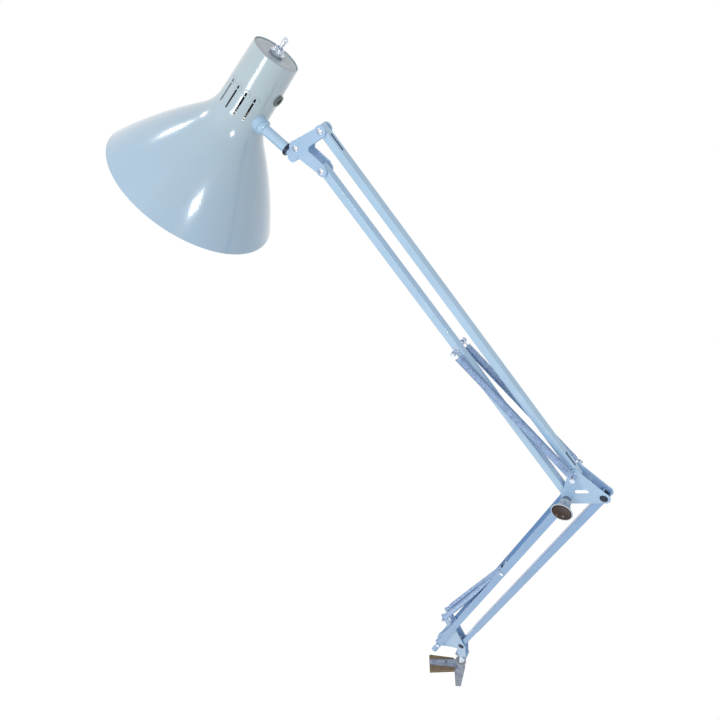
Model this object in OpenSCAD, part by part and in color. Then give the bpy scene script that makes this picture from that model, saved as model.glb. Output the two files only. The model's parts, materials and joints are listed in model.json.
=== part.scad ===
// Spring-balanced architect lamp: table clamp, swivelling base bracket, two parallel-bar arms,
// head bracket and bell-shaped shade. Millimetres, +Z up. The origin is the centre of the upper
// jaw's contact face, and the arms lie in the plane y = swivel_y.

/* [Pose] */
// Direction of the lower arm, from +X
lower_angle = 74.5; // [60:0.5:90]
// Direction of the upper arm, from +X
upper_angle = 134.6; // [115:0.1:160]
// Turn of the clamp's jaw about the swivel pin
clamp_turn = 27; // [0:1:45]
// Lean of the shade's axis from upright
shade_tilt = 36.7; // [20:0.1:50]
// Compass direction of that lean
shade_swing = 23.8; // [10:0.1:30]
// Turn of the shade about its own axis
shade_roll = -37.3; // [-40:0.1:-25]

/* [Arms] */
// Side of the square tubes
tube = 9.5; // [8:0.1:11]
// Wall of the square tubes
tube_wall = 1.1; // [0.8:0.1:1.5]
// Lower arm, pivot to pivot
lower_len = 468; // [400:1:520]
// Upper arm, pivot to pivot
upper_len = 464.5; // [400:0.5:520]
// Length of tube past its end pivots
tube_over = 5; // [4:0.5:7]
// Elbow plates: main bolt to knob bolt, across
elbow_dx = 37; // [32:0.5:45]
// Elbow plates: main bolt to knob bolt, down
elbow_dz = 23; // [18:0.5:28]
// Elbow and head plates: distance between the upper arm's two pivots
pivot_rise = 41.5; // [36:0.5:48]
// Outer width of the lower rear channel
channel_w = 25; // [24:0.5:28]
// Sheet of the lower rear channel
channel_wall = 1; // [0.8:0.1:1.2]
// Length of the channel's ears past its lower pivot
channel_tail = 22; // [16:1:26]
// Length of the lower bar's plain end fitting, from its pivot to the tube
fitting_len = 62; // [40:1:80]

/* [Plates and pins] */
// Thickness of the stamped plates
plate_t = 1.4; // [1:0.1:2]
// Thickness of the pivot washers
washer_t = 0.6; // [0.4:0.1:0.8]
// Radius of the pivot pins
pin_r = 2.5; // [2:0.1:3]
// Radius of the pins that hold the springs
hook_pin_r = 2; // [1.5:0.1:2.4]
// Radius of the elbow knob's skirt
knob_r = 12.5; // [10:0.5:15]
// Length of the elbow knob
knob_len = 17; // [14:0.5:20]

/* [Springs] */
// Outer diameter of the upper springs
upper_spring_d = 9; // [8:0.1:9.4]
// Outer diameter of the lower springs
lower_spring_d = 7.6; // [7:0.1:7.8]
// Thickness of the spring wire
wire_d = 1.6; // [1:0.1:1.8]
// Curls of one spring
curls = 21; // [12:1:21]
// Upper springs: distance of their pin from the elbow, along the bar
upper_spring_reach = 223; // [180:1:240]
// Lower springs: distance of their pin from the base, along the channel
lower_spring_reach = 275; // [240:1:300]

/* [Base] */
// Height of the main lower pivot above the table
pivot_h = 77.8; // [70:0.1:90]
// Radius of the swivel pin, half an inch across
swivel_r = 6.35; // [5:0.05:7]
// Height of the clamp's hub above the table
hub_h = 19; // [16:0.5:20]
// Thickness of the pad under the upper jaw
pad_t = 8; // [4:0.5:9]
// Length of that pad
pad_len = 42; // [36:1:50]
// Deepest table the clamp takes
clamp_gap = 50; // [40:1:60]
// Distance of the clamp screw's pad below the upper jaw, at rest
table_t = 25; // [10:1:40]
// Radius of the clamp screw
screw_r = 4; // [3:0.1:5]
// Length of the tommy bar
bar_len = 48; // [36:1:60]

/* [Shade] */
// Length of the shade
shade_len = 187; // [170:1:210]
// Length of its neck
neck_len = 80.5; // [76:0.5:90]
// Radius of the neck at the cap
cap_r = 26.3; // [24:0.1:29]
// Radius at the foot of the neck
neck_r = 29.6; // [27:0.1:31]
// Radius of the rim
rim_r = 104.5; // [90:0.5:110]
// Sheet of the shade
shade_wall = 1; // [0.8:0.1:1.4]
// Vent slots in each of the two groups
vents = 4; // [2:1:5]
// Radius of the lamp bulb
bulb_r = 30; // [25:0.5:32]

/* [Hidden] */
$fn = 48;
cut = 1;                 // overrun of every cut
fit = 0.05;              // radial clearance of a pin in its bore
run = 0.3;               // side clearance of a moving piece
seat = 0.02;             // clearance of a piece pressed into another

function dir(a) = [cos(a), sin(a)];
function len2(v) = sqrt(v[0] * v[0] + v[1] * v[1]);
function polar(v) = atan2(v[1], v[0]);

// Depths, measured from the arms' own plane
half = tube / 2;
plate_in = half + run + washer_t;
plate_out = plate_in + plate_t;
channel_in = channel_w / 2 - channel_wall;

// Pivots, as [x, z] measured from the swivel axis at table height
front_foot = [-2.7, pivot_h];
link = [-elbow_dx, -elbow_dz];
rear_foot = front_foot + link;
front_top = front_foot + lower_len * dir(lower_angle);
rear_top = front_top + link;
rear_elbow = rear_top;
front_elbow = rear_elbow + [0, pivot_rise];
rear_head = rear_elbow + upper_len * dir(upper_angle);
front_head = front_elbow + upper_len * dir(upper_angle);
horn_reach = 69.9;
horn_dir = 120.2;
horn = front_foot + horn_reach * dir(horn_dir);
channel_spring = rear_foot + lower_spring_reach * dir(lower_angle);
tube_spring = rear_elbow + upper_spring_reach * dir(upper_angle);
// Nose of the head plates, and the line of the shade's rod below it
nose_back = 31.2;
nose_drop = 22.8;
nose = front_head + [-nose_back, -nose_drop];
rod_angle = 149.4;
rod_drop = 13.1;
rod_start = 8.6;
rod_foot = nose + rod_drop * dir(rod_angle + 90) + rod_start * dir(rod_angle);
collar_gap = 7;
rod_reach = 38.6;
ball = rod_foot + rod_reach * dir(rod_angle);

// Clamp, seen from above: the jaw's centre is the origin
jaw_reach = 31;
swivel_x = jaw_reach * cos(clamp_turn);
swivel_y = jaw_reach * sin(clamp_turn);

module arm_frame() translate([swivel_x, swivel_y, 0]) children();
module at(p, y = 0) translate([p[0], y, p[1]]) children();
// Cylinder along Y from y0 to y1
module rod_y(r, y0, y1) translate([0, y0, 0]) rotate([-90, 0, 0]) cylinder(r = r, h = y1 - y0);
// Turns a flat outline in X and Z into a slab from y0 to y1
module slab(y0, y1) translate([0, y1, 0]) rotate([90, 0, 0]) linear_extrude(y1 - y0) children();
// Flat strip with round ends from p to q
module strip(p, q, r) {
    translate(p) circle(r);
    translate(q) circle(r);
    translate(p) rotate(polar(q - p)) translate([0, -r]) square([len2(q - p), 2 * r]);
}
// Straight bar between two pivots of a plate, and the round ends of several
waist = 0.96;
module bar(p, q, r) translate(p) rotate(polar(q - p)) translate([0, -waist * r]) square([len2(q - p), 2 * waist * r]);
module discs(points, r) for (p = points) translate(p) circle(r);
// Lays children that are drawn along +X on the line from p towards angle a
module along(p, a) at(p) rotate([0, -a, 0]) children();
// Rivet along Y through the two plates, with a flat head at each side
module rivet(r, head_r, head_t, grip) {
    rod_y(r, -grip, grip);
    rod_y(head_r, -grip - head_t, -grip);
    rod_y(head_r, grip, grip + head_t);
}
module ring_y(r_out, r_in, y0, y1) difference() {
    rod_y(r_out, y0, y1);
    rod_y(r_in, y0 - cut, y1 + cut);
}

// Square tube along +X between two pivots
module square_tube(len, over0, over1) difference() {
    translate([-over0, -half, -half]) cube([over0 + len + over1, tube, tube]);
    translate([-over0 - cut, tube_wall - half, tube_wall - half])
        cube([over0 + len + over1 + 2 * cut, tube - 2 * tube_wall, tube - 2 * tube_wall]);
}

// Clamp
jaw_w = 21;
jaw_end_w = 28;
arm_w = 13;
arm_tip_share = 0.3;
arm_rise = 4;
spine_t = 15;
spine_w = 17;
spine_tip_share = 0.7;
hub_r = 9;
hub_floor = 2;
foot_arm_t = 11;
screw_back = 26;
boss_r = 8.5;
jaw_root = hub_r + 1;

// Everything of the clamp is drawn with the jaw along -X and the swivel axis at jaw_reach
module clamp_frame() rotate([0, 0, clamp_turn]) children();
spine_low = clamp_gap + foot_arm_t;
bush_wall = 1.2;
bush_r = swivel_r + fit + bush_wall;
pin_depth = 32;
tip_x = -pad_len / 2;

module clamp_body() color("#c3d3dc") clamp_frame() difference() {
    union() {
        translate([jaw_reach, 0, 0]) cylinder(r = hub_r, h = hub_h);
        // upper jaw: a tapered arm that thins towards its tip
        translate([0, 0, pad_t]) linear_extrude(arm_rise)
            polygon([[tip_x, -arm_w * arm_tip_share], [jaw_reach, -arm_w / 2],
                [jaw_reach, arm_w / 2], [tip_x, arm_w * arm_tip_share]]);
        translate([0, arm_w * arm_tip_share / 2, 0]) rotate([90, 0, 0])
            linear_extrude(arm_w * arm_tip_share)
            polygon([[tip_x, pad_t], [jaw_reach, pad_t], [jaw_reach, hub_h - cut],
                [tip_x + arm_rise, pad_t + arm_rise + cut], [tip_x, pad_t + arm_rise]]);
        // spine, tapering downwards
        translate([jaw_reach - spine_t / 2, 0, 0]) rotate([90, 0, 90]) linear_extrude(spine_t)
            polygon([[-spine_w / 2, pad_t + arm_rise], [-spine_w * spine_tip_share / 2, -spine_low],
                [spine_w * spine_tip_share / 2, -spine_low], [spine_w / 2, pad_t + arm_rise]]);
        translate([jaw_reach, 0, hub_h - pin_depth - hub_floor]) cylinder(r = hub_r, h = pin_depth + hub_floor - cut);
        // lower arm and its screw boss
        translate([jaw_reach - screw_back, -spine_w * spine_tip_share / 2, -spine_low])
            cube([screw_back, spine_w * spine_tip_share, foot_arm_t]);
        translate([jaw_reach - screw_back, 0, -spine_low]) cylinder(r = boss_r, h = foot_arm_t);
    }
    translate([jaw_reach, 0, hub_h - pin_depth]) cylinder(r = bush_r, h = pin_depth + cut);
    translate([jaw_reach - screw_back, 0, -spine_low - cut]) cylinder(r = screw_r + fit, h = foot_arm_t + 2 * cut);
    for (s = rivet_shares) translate([tip_x + s * pad_len, 0, pad_t - cut])
        cylinder(r = pad_rivet_r + seat, h = hub_h);
}

rivet_shares = [0.14, 0.66];
pad_rivet_r = 1.5;
pad_rivet_head = 0.8;

module jaw_pad() color("#7d5f45") clamp_frame() difference() {
    linear_extrude(pad_t)
        polygon([[tip_x, -jaw_end_w / 2], [tip_x + pad_len, -jaw_w / 2],
            [tip_x + pad_len, jaw_w / 2], [tip_x, jaw_end_w / 2]]);
    for (s = rivet_shares) translate([tip_x + s * pad_len, 0, 0]) {
        translate([0, 0, -cut]) cylinder(r = pad_rivet_r + seat, h = pad_t + 2 * cut);
        translate([0, 0, -cut]) cylinder(r = 2 * pad_rivet_r, h = cut + 2 * pad_rivet_head);
    }
}

module pad_rivets() color("silver") clamp_frame()
    for (s = rivet_shares) translate([tip_x + s * pad_len, 0, pad_rivet_head]) {
        cylinder(r = pad_rivet_r, h = pad_t + arm_rise - pad_rivet_head);
        cylinder(r = 2 * pad_rivet_r - fit, h = pad_rivet_head);
    }

module swivel_bush() color("#d9d2b8") translate([swivel_x, swivel_y, 0]) difference() {
    union() {
        translate([0, 0, hub_h - pin_depth]) cylinder(r = bush_r - seat, h = pin_depth);
        translate([0, 0, hub_h]) cylinder(r = bush_r + bush_wall, h = bush_wall);
    }
    translate([0, 0, hub_h - pin_depth - cut]) cylinder(r = swivel_r + fit, h = pin_depth + bush_wall + 2 * cut);
}

// Clamp screw, its swivelling pad and its tommy bar
screw_pad_r = 11;
screw_pad_t = 4;
screw_tip_r = 2.6;
screw_head_r = 6.5;
screw_head_h = 10;
tommy_r = 2.5;
screw_spare = 24;
screw_len = clamp_gap - table_t + foot_arm_t + screw_spare;

module screw_axis() clamp_frame() translate([jaw_reach - screw_back, 0, -table_t]) children();

module screw_pad() color("#b9bdc2") screw_axis() difference() {
    translate([0, 0, -screw_pad_t]) cylinder(r = screw_pad_r, h = screw_pad_t);
    translate([0, 0, -screw_pad_t - cut]) cylinder(r = screw_tip_r + fit, h = screw_pad_t / 2 + cut);
}

module clamp_screw() color("#b9bdc2") screw_axis() difference() {
    translate([0, 0, -screw_pad_t]) union() {
        cylinder(r = screw_tip_r, h = screw_pad_t / 2 - fit);
        translate([0, 0, -fit - screw_len]) cylinder(r = screw_r, h = screw_len);
        translate([0, 0, -screw_len]) cylinder(r = screw_tip_r, h = screw_len);
        translate([0, 0, -screw_len - screw_head_h]) cylinder(r = screw_head_r, h = screw_head_h);
    }
    translate([0, 0, -screw_pad_t - screw_len - screw_head_h / 2]) rod_y(tommy_r + seat, -bar_len, bar_len);
}

module tommy_bar() color("#b9bdc2") screw_axis()
    translate([0, 0, -screw_pad_t - screw_len - screw_head_h / 2]) {
        rod_y(tommy_r, -bar_len / 2, bar_len / 2);
        for (s = [-1, 1]) translate([0, s * bar_len / 2, 0]) sphere(r = tommy_r * 1.5);
    }

// Base bracket: two cheeks on a foot that carries the swivel pin
foot_low = 44;
foot_h = 6;
foot_x = 9.5;
foot_rivet_x = 6.6;
foot_rivet_r = 1.5;
spigot_r = 4;
cheek_r = 7.5;
horn_r = 6;
horn_back = 17;
horn_up = 30;
horn_foot = front_foot + [-horn_back, horn_up];
foot_point = [0, foot_low + foot_h + cheek_r / 2];

module cheek_outline() difference() {
    union() {
        discs([horn_foot, front_foot, rear_foot, foot_point], cheek_r);
        discs([horn], horn_r);
        bar(horn, horn_foot, horn_r);
        bar(horn_foot, front_foot, cheek_r);
        bar(rear_foot, front_foot, cheek_r);
        bar(rear_foot, horn_foot, cheek_r);
        bar(front_foot, foot_point, cheek_r);
        polygon([rear_foot, front_foot, horn_foot]);
        translate([-foot_x, foot_low]) square([2 * foot_x, foot_h]);
    }
    translate(horn) circle(hook_pin_r + seat);
    translate(front_foot) circle(pin_r + fit);
    translate(rear_foot) circle(pin_r + fit);
    for (s = [-1, 1]) translate([s * foot_rivet_x, foot_low + foot_h / 2]) circle(foot_rivet_r + seat);
}
module bracket_near() color("#a9c3e0") arm_frame() slab(-plate_out, -plate_in) cheek_outline();
module bracket_far() color("#a9c3e0") arm_frame() slab(plate_in, plate_out) cheek_outline();

module bracket_foot() color("#a9c3e0") arm_frame() difference() {
    translate([-foot_x, -plate_in, foot_low]) cube([2 * foot_x, 2 * plate_in, foot_h]);
    translate([0, 0, foot_low - cut]) cylinder(r = spigot_r + seat, h = foot_h + 2 * cut);
    for (s = [-1, 1]) at([s * foot_rivet_x, foot_low + foot_h / 2])
        rod_y(foot_rivet_r + seat, -plate_in - cut, plate_in + cut);
}

module foot_rivets() color("silver") arm_frame() for (s = [-1, 1])
    at([s * foot_rivet_x, foot_low + foot_h / 2]) rivet(foot_rivet_r, 2 * foot_rivet_r, foot_rivet_r / 2, plate_out);

module swivel_pin() color("silver") arm_frame() {
    translate([0, 0, hub_h - pin_depth + 1]) cylinder(r = swivel_r, h = foot_low - hub_h + pin_depth - 1);
    translate([0, 0, foot_low]) cylinder(r = spigot_r, h = foot_h);
    translate([0, 0, foot_low + foot_h]) cylinder(r = spigot_r + 0.5, h = foot_rivet_r / 2);
}

head_r = 3.6;
head_t = 1.6;
nut_r = 4.6;
module base_bolt() color("silver") arm_frame() at(front_foot) rivet(pin_r, nut_r, head_t, plate_out);

washer_r = 4.6;
module washer_pair(p, y_in) at(p) for (s = [-1, 1])
    ring_y(washer_r, pin_r + fit, s > 0 ? y_in : -y_in - washer_t, s > 0 ? y_in + washer_t : -y_in);
module base_washers() color("#e8e4d8") arm_frame() washer_pair(front_foot, plate_in - washer_t);

// Rear pivots of the channel: one short rivet at each side
module rear_rivets() color("silver") arm_frame() at(rear_foot) for (s = [-1, 1]) mirror([0, s > 0 ? 0 : 1, 0]) {
    rod_y(pin_r, plate_in, channel_w / 2 + run);
    rod_y(head_r, plate_in - washer_t, plate_in);
    rod_y(head_r, channel_w / 2 + run, channel_w / 2 + run + head_t);
    ring_y(washer_r, pin_r + seat, plate_out, channel_in - run);
}

horn_side = plate_out + lower_spring_d / 2 + run;
module horn_pin() color("silver") arm_frame() at(horn) {
    rod_y(hook_pin_r, -horn_side - lower_spring_d / 2, horn_side + lower_spring_d / 2);
    for (s = [-1, 1]) mirror([0, s > 0 ? 0 : 1, 0])
        rod_y(hook_pin_r * 1.5, horn_side + lower_spring_d / 2, horn_side + lower_spring_d / 2 + run * 4);
}

// Lower arm
module lower_front_tube() color("#9fbbe0") arm_frame() along(front_foot, lower_angle) difference() {
    translate([fitting_len, 0, 0]) square_tube(lower_len - fitting_len, 0, tube_over);
    translate([lower_len, 0, 0]) rod_y(pin_r + fit, -tube, tube);
}

fitting_in = 30;
fitting_share = 0.8;
fitting_w = tube - 2 * tube_wall - 2 * seat;
module lower_end_fitting() color("#8f9cc4") arm_frame() along(front_foot, lower_angle) difference() {
    union() {
        translate([0, -fitting_w / 2, -fitting_w / 2]) cube([fitting_len + fitting_in, fitting_w, fitting_w]);
        translate([0, -half, -tube * fitting_share / 2]) cube([fitting_len - seat, tube, tube * fitting_share]);
        rod_y(tube * fitting_share / 2, -half, half);
    }
    rod_y(pin_r + fit, -tube, tube);
}

web_foot = 92;
web_top = 16;
ear_r = tube / 2;
tail_hole_r = 1.7;
module lower_rear_channel() color("#9fbbe0") arm_frame() along(rear_foot, lower_angle) difference() {
    union() {
        for (s = [-1, 1]) mirror([0, s > 0 ? 0 : 1, 0]) {
            slab(channel_in, channel_w / 2) strip([-channel_tail, 0], [lower_len, 0], ear_r);
        }
        translate([web_foot, -channel_w / 2, -ear_r])
            cube([lower_len - web_foot - web_top, channel_w, channel_wall]);
    }
    rod_y(pin_r + fit, -channel_w, channel_w);
    translate([lower_len, 0, 0]) rod_y(pin_r + fit, -channel_w, channel_w);
    translate([lower_spring_reach, 0, 0]) rod_y(hook_pin_r + seat, -channel_w, channel_w);
    translate([-channel_tail, 0, 0]) rod_y(tail_hole_r, -channel_w, channel_w);
}
module channel_spring_pin() color("silver") arm_frame() at(channel_spring) {
    rod_y(hook_pin_r, -channel_w / 2, channel_w / 2);
    for (s = [-1, 1]) mirror([0, s > 0 ? 0 : 1, 0])
        rod_y(hook_pin_r * 1.4, channel_w / 2, channel_w / 2 + run * 3);
}

// Springs
ring_sides = 6;
rings_per_curl = 8;
ramp_rings = 6;
hook_len = 9;
near_side = plate_out + upper_spring_d / 2 + 2 * run;
inner_side = lower_spring_d / 2 + run;

function norm3(v) = v / norm(v);
function ramp(k) = k <= 0 ? 0 : k >= 1 ? 1 : (1 - cos(180 * k)) / 2;
// Centre line of a spring along +Z: a straight end, the coils, and a straight end
function coil_points(len, r) = let (n = curls * rings_per_curl, body = len - 2 * hook_len)
    concat([[0, 0, 0], [0, 0, wire_d]],
        [for (i = [0:n]) let (f = ramp(min(i, n - i) / ramp_rings), a = 360 * i / rings_per_curl)
            [r * f * cos(a), r * f * sin(a), hook_len + body * i / n]],
        [[0, 0, len - wire_d], [0, 0, len]]);
function coil_angles() = let (n = curls * rings_per_curl)
    concat([0, 0], [for (i = [0:n]) 360 * i / rings_per_curl], [360 * n / rings_per_curl, 360 * n / rings_per_curl]);
function ring_at(p, t, a, w) = let (e = [cos(a), sin(a), 0], u = norm3(e - t * (e * t)), v = cross(t, u))
    [for (k = [0:ring_sides - 1]) let (b = 360 * k / ring_sides) p + w * (cos(b) * u + sin(b) * v)];
function tangent(q, i) = norm3(q[min(i + 1, len(q) - 1)] - q[max(i - 1, 0)]);

module coil(length, mean_r) {
    q = coil_points(length, mean_r);
    a = coil_angles();
    n = len(q);
    m = ring_sides;
    points = [for (i = [0:n - 1]) each ring_at(q[i], tangent(q, i), a[i], wire_d / 2)];
    sides = [for (i = [0:n - 2]) for (k = [0:m - 1]) let (k2 = (k + 1) % m)
        each [[i * m + k, (i + 1) * m + k, (i + 1) * m + k2], [i * m + k, (i + 1) * m + k2, i * m + k2]]];
    ends = concat([for (k = [1:m - 2]) [0, k, k + 1]],
        [for (k = [1:m - 2]) let (b = (n - 1) * m) [b, b + k + 1, b + k]]);
    polyhedron(points = points, faces = concat(sides, ends));
}
// Least gap of a spring to itself, measured between points half a curl or more apart
function coil_gap(length, mean_r) = let (q = coil_points(length, mean_r), n = len(q))
    min([for (i = [0:n - 1]) for (j = [i + rings_per_curl / 2:n - 1]) norm(q[i] - q[j])]) - wire_d;

// A spring between two pins, given as [x, y, z], standing clear of both
module spring(p, q, d) {
    v = q - p;
    reach = norm(v);
    stand = hook_pin_r + run;
    translate(p) rotate([0, acos(v[2] / reach), atan2(v[1], v[0])]) translate([0, 0, stand])
        coil(reach - 2 * stand, (d - wire_d) / 2);
}
module lower_spring(s) arm_frame()
    spring([horn[0], s * horn_side, horn[1]], [channel_spring[0], s * inner_side, channel_spring[1]], lower_spring_d);
module upper_spring(s) arm_frame()
    spring([front_elbow[0], s * near_side, front_elbow[1]], [tube_spring[0], s * near_side, tube_spring[1]],
        upper_spring_d);
module lower_spring_near() color("#8a8f99") lower_spring(-1);
module lower_spring_far() color("#8a8f99") lower_spring(1);
module upper_spring_near() color("#8a8f99") upper_spring(-1);
module upper_spring_far() color("#8a8f99") upper_spring(1);
spring_span = norm([front_elbow[0] - tube_spring[0], front_elbow[1] - tube_spring[1]]) - 2 * (hook_pin_r + run);
echo(least_spring_gap = coil_gap(spring_span, (upper_spring_d - wire_d) / 2));

// Elbow
elbow_r = 7.5;
// Near plate: a slot beside the line from the knob bolt to the main bolt
window_off = 10.1;
window_r = 3.1;
window_start = 15.6;
window_end = 26.4;
// Far plate: cut away below the spring pin, with a slim leg down to the knob bolt
far_leg_r = 5.2;
crotch = 2;
link_angle = polar(front_top - rear_elbow);
function beside_link(along, off) = rear_elbow + along * dir(link_angle) + off * dir(link_angle + 90);
module elbow_holes() for (p = [front_top, rear_elbow, front_elbow]) translate(p) circle(pin_r + fit);
module elbow_window() {
    discs([beside_link(window_start, window_off), beside_link(window_end, window_off)], window_r);
    bar(beside_link(window_start, window_off), beside_link(window_end, window_off), window_r);
}
module elbow_far_outline() difference() {
    union() {
        discs([front_top, front_elbow], elbow_r);
        discs([rear_elbow], far_leg_r);
        bar(rear_elbow, front_elbow, far_leg_r);
        bar(front_elbow, front_top, elbow_r);
        polygon([beside_link(0, crotch), beside_link(len2(link), crotch), front_elbow]);
    }
    elbow_holes();
}
module elbow_plate_near() color("#a9c3e0") arm_frame() difference() {
    union() {
        for (p = [front_top, rear_elbow, front_elbow]) at(p) rod_y(elbow_r, -plate_out, -plate_in);
        slab(-plate_out, -plate_in) bar(front_top, rear_elbow, elbow_r);
        slab(-plate_out, -plate_in) bar(rear_elbow, front_elbow, elbow_r);
        slab(-plate_out, -plate_in) bar(front_elbow, front_top, elbow_r);
        slab(-plate_out, -plate_in) polygon([front_top, rear_elbow, front_elbow]);
    }
    slab(-plate_out - cut, -plate_in + cut) elbow_window();
    slab(-plate_out - cut, -plate_in + cut) elbow_holes();
}
module elbow_plate_far() color("#a9c3e0") arm_frame() slab(plate_in, plate_out) elbow_far_outline();
module elbow_bolt() color("silver") arm_frame() at(front_top) rivet(pin_r, nut_r, head_t, plate_out);
module elbow_washers() color("#e8e4d8") arm_frame() {
    washer_pair(front_top, plate_in - washer_t);
    washer_pair(rear_elbow, plate_in - washer_t);
    washer_pair(front_elbow, plate_in - washer_t);
}
bush_len = channel_in - run - plate_out;
module elbow_bushes() color("silver") arm_frame() at(rear_elbow) {
    ring_y(washer_r, pin_r + fit, plate_out, plate_out + bush_len);
    ring_y(washer_r, pin_r + fit, -plate_out - bush_len, -plate_out);
}
knob_seat = channel_w / 2 + run;
module knob_bolt() color("silver") arm_frame() at(rear_elbow) {
    rod_y(pin_r, -knob_seat - knob_len / 2, knob_seat);
    rod_y(nut_r, knob_seat, knob_seat + head_t);
}
module spring_pivot_pin() color("silver") arm_frame() at(front_elbow) {
    rod_y(pin_r, -plate_out, plate_out);
    rod_y(hook_pin_r, -near_side - upper_spring_d / 2, near_side + upper_spring_d / 2);
    for (s = [-1, 1]) mirror([0, s > 0 ? 0 : 1, 0])
        rod_y(hook_pin_r * 1.5, near_side + upper_spring_d / 2, near_side + upper_spring_d / 2 + run * 4);
}
// Flared tension knob with a hollow outer face
stem_r = 6.5;
knob_lip = 1.2;
knob_hollow = 5;
module elbow_knob() color("#c9cfd8") arm_frame() at(rear_elbow, -knob_seat) rotate([90, 0, 0])
    rotate_extrude() polygon([[pin_r + fit, 0], [stem_r, 0], [stem_r, knob_len * 0.3], [knob_r, knob_len - knob_lip],
        [knob_r, knob_len], [knob_r - knob_lip, knob_len], [stem_r, knob_len - knob_hollow],
        [0, knob_len - knob_hollow], [0, knob_len / 2 + run], [pin_r + fit, knob_len / 2 + run]]);

// Upper arm
slot_len = 20;
slot_w = 3.2;
slot_from = 8;
module end_slots() for (x = [slot_from, upper_len - slot_from - slot_len])
    translate([x, -slot_w / 2, -half - cut]) cube([slot_len, slot_w, tube_wall + 2 * cut]);
module upper_front_tube() color("#b4d0ee") arm_frame() along(front_elbow, upper_angle) difference() {
    square_tube(upper_len, tube_over, tube_over);
    rod_y(pin_r + fit, -tube, tube);
    translate([upper_len, 0, 0]) rod_y(pin_r + fit, -tube, tube);
    end_slots();
}
module upper_rear_tube() color("#b4d0ee") arm_frame() along(rear_elbow, upper_angle) difference() {
    square_tube(upper_len, tube_over, tube_over);
    rod_y(pin_r + fit, -tube, tube);
    translate([upper_len, 0, 0]) rod_y(pin_r + fit, -tube, tube);
    translate([upper_spring_reach, 0, 0]) rod_y(hook_pin_r + seat, -tube, tube);
}
module tube_spring_pin() color("silver") arm_frame() at(tube_spring) {
    rod_y(hook_pin_r, -near_side - upper_spring_d / 2, near_side + upper_spring_d / 2);
    for (s = [-1, 1]) mirror([0, s > 0 ? 0 : 1, 0]) {
        rod_y(hook_pin_r * 1.5, near_side + upper_spring_d / 2, near_side + upper_spring_d / 2 + run * 4);
        rod_y(hook_pin_r * 1.5, half, half + run * 2);
    }
}

// Head bracket
head_plate_r = 6.3;
nose_r = 8.2;
limb_out = 5;            // edge of a limb beside its pivot, outer side
upper_in = 6;            // and inner side, of the upper limb
lower_in = 7.6;          // and of the lower limb
throat_up = [16.2, 4.1]; // bottom of the notch between the limbs, from the nose
throat_low = [15.6, -0.2];
upper_limb = polar(front_head - nose);
lower_limb = polar(rear_head - nose);
module head_plate(y0, y1) difference() {
    union() {
        at(nose) rod_y(nose_r, y0, y1);
        at(front_head) rod_y(head_plate_r, y0, y1);
        at(rear_head) rod_y(head_plate_r, y0, y1);
        slab(y0, y1) polygon([nose + waist * nose_r * dir(upper_limb + 90),
            front_head + limb_out * dir(upper_limb + 90), front_head - upper_in * dir(upper_limb + 90),
            nose + throat_up, nose + throat_low, rear_head + lower_in * dir(lower_limb + 90),
            rear_head - limb_out * dir(lower_limb + 90), nose - waist * nose_r * dir(lower_limb + 90)]);
    }
    for (p = [nose, front_head, rear_head]) at(p) rod_y(pin_r + fit, y0 - cut, y1 + cut);
}
module head_plate_near() color("#bcd3e8") arm_frame() head_plate(-plate_out, -plate_in);
module head_plate_far() color("#bcd3e8") arm_frame() head_plate(plate_in, plate_out);
module head_rivets() color("silver") arm_frame() for (p = [front_head, rear_head, nose])
    at(p) rivet(pin_r, head_r, head_t, plate_out);
module head_washers() color("#e8e4d8") arm_frame() {
    washer_pair(front_head, plate_in - washer_t);
    washer_pair(rear_head, plate_in - washer_t);
}

// Block that pivots between the head plates and holds the shade's rod
block_r = 5.6;
block_t = plate_in - run;
spigot_len = 11;
rod_spigot_r = 3.2;
socket_r = 5;
block_foot = rod_foot - rod_start * dir(rod_angle);
module head_block() color("#8d9bb0") arm_frame() difference() {
    union() {
        slab(-block_t, block_t) strip(nose, block_foot, block_r);
        along(block_foot, rod_angle) rotate([0, 90, 0]) cylinder(r = socket_r, h = rod_start);
    }
    at(nose) rod_y(pin_r + fit, -tube, tube);
    along(rod_foot, rod_angle) rotate([0, -90, 0]) translate([0, 0, -cut])
        cylinder(r = rod_spigot_r + fit, h = spigot_len + cut);
}
collar_r = 7.2;
module swivel_collar() color("#3c4250") arm_frame() along(rod_foot, rod_angle) rotate([0, 90, 0]) difference() {
    cylinder(r = collar_r, h = collar_gap / 2 - run);
    translate([0, 0, -cut]) cylinder(r = rod_spigot_r + fit, h = collar_gap);
}
rod_r = 5.8;
ball_r = 8.2;
module shade_rod() color("#bcd3e8") arm_frame() along(rod_foot, rod_angle) rotate([0, 90, 0]) {
    translate([0, 0, -spigot_len]) cylinder(r = rod_spigot_r, h = spigot_len + collar_gap / 2);
    translate([0, 0, collar_gap / 2]) cylinder(r = rod_r, h = rod_reach - collar_gap / 2);
    translate([0, 0, rod_reach]) sphere(r = ball_r, $fn = 64);
}

// Shade: local +Z runs to the cap's centre at z = 0, and local +X points at the ball
ball_out = 33.5;
ball_down = 63.5;
module shade_frame() arm_frame() at(ball) rotate([0, shade_tilt, shade_swing]) rotate([0, 0, shade_roll])
    translate([-ball_out, 0, ball_down]) children();

bell_share = 0.24;
bell_steps = 12;
flare = 16;
flare_steps = 6;
function bell(u) = neck_r + (rim_r - neck_r) * (u + bell_share * u * (1 - u));
// Radius at a distance below the cap, before the concave turn between neck and bell
function side(d) = d <= neck_len ? cap_r + (neck_r - cap_r) * d / neck_len : bell((d - neck_len) / (shade_len - neck_len));
function flare_at(t) = side(neck_len - flare) * pow(1 - t, 2) + 2 * neck_r * t * (1 - t) + side(neck_len + flare) * t * t;
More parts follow.
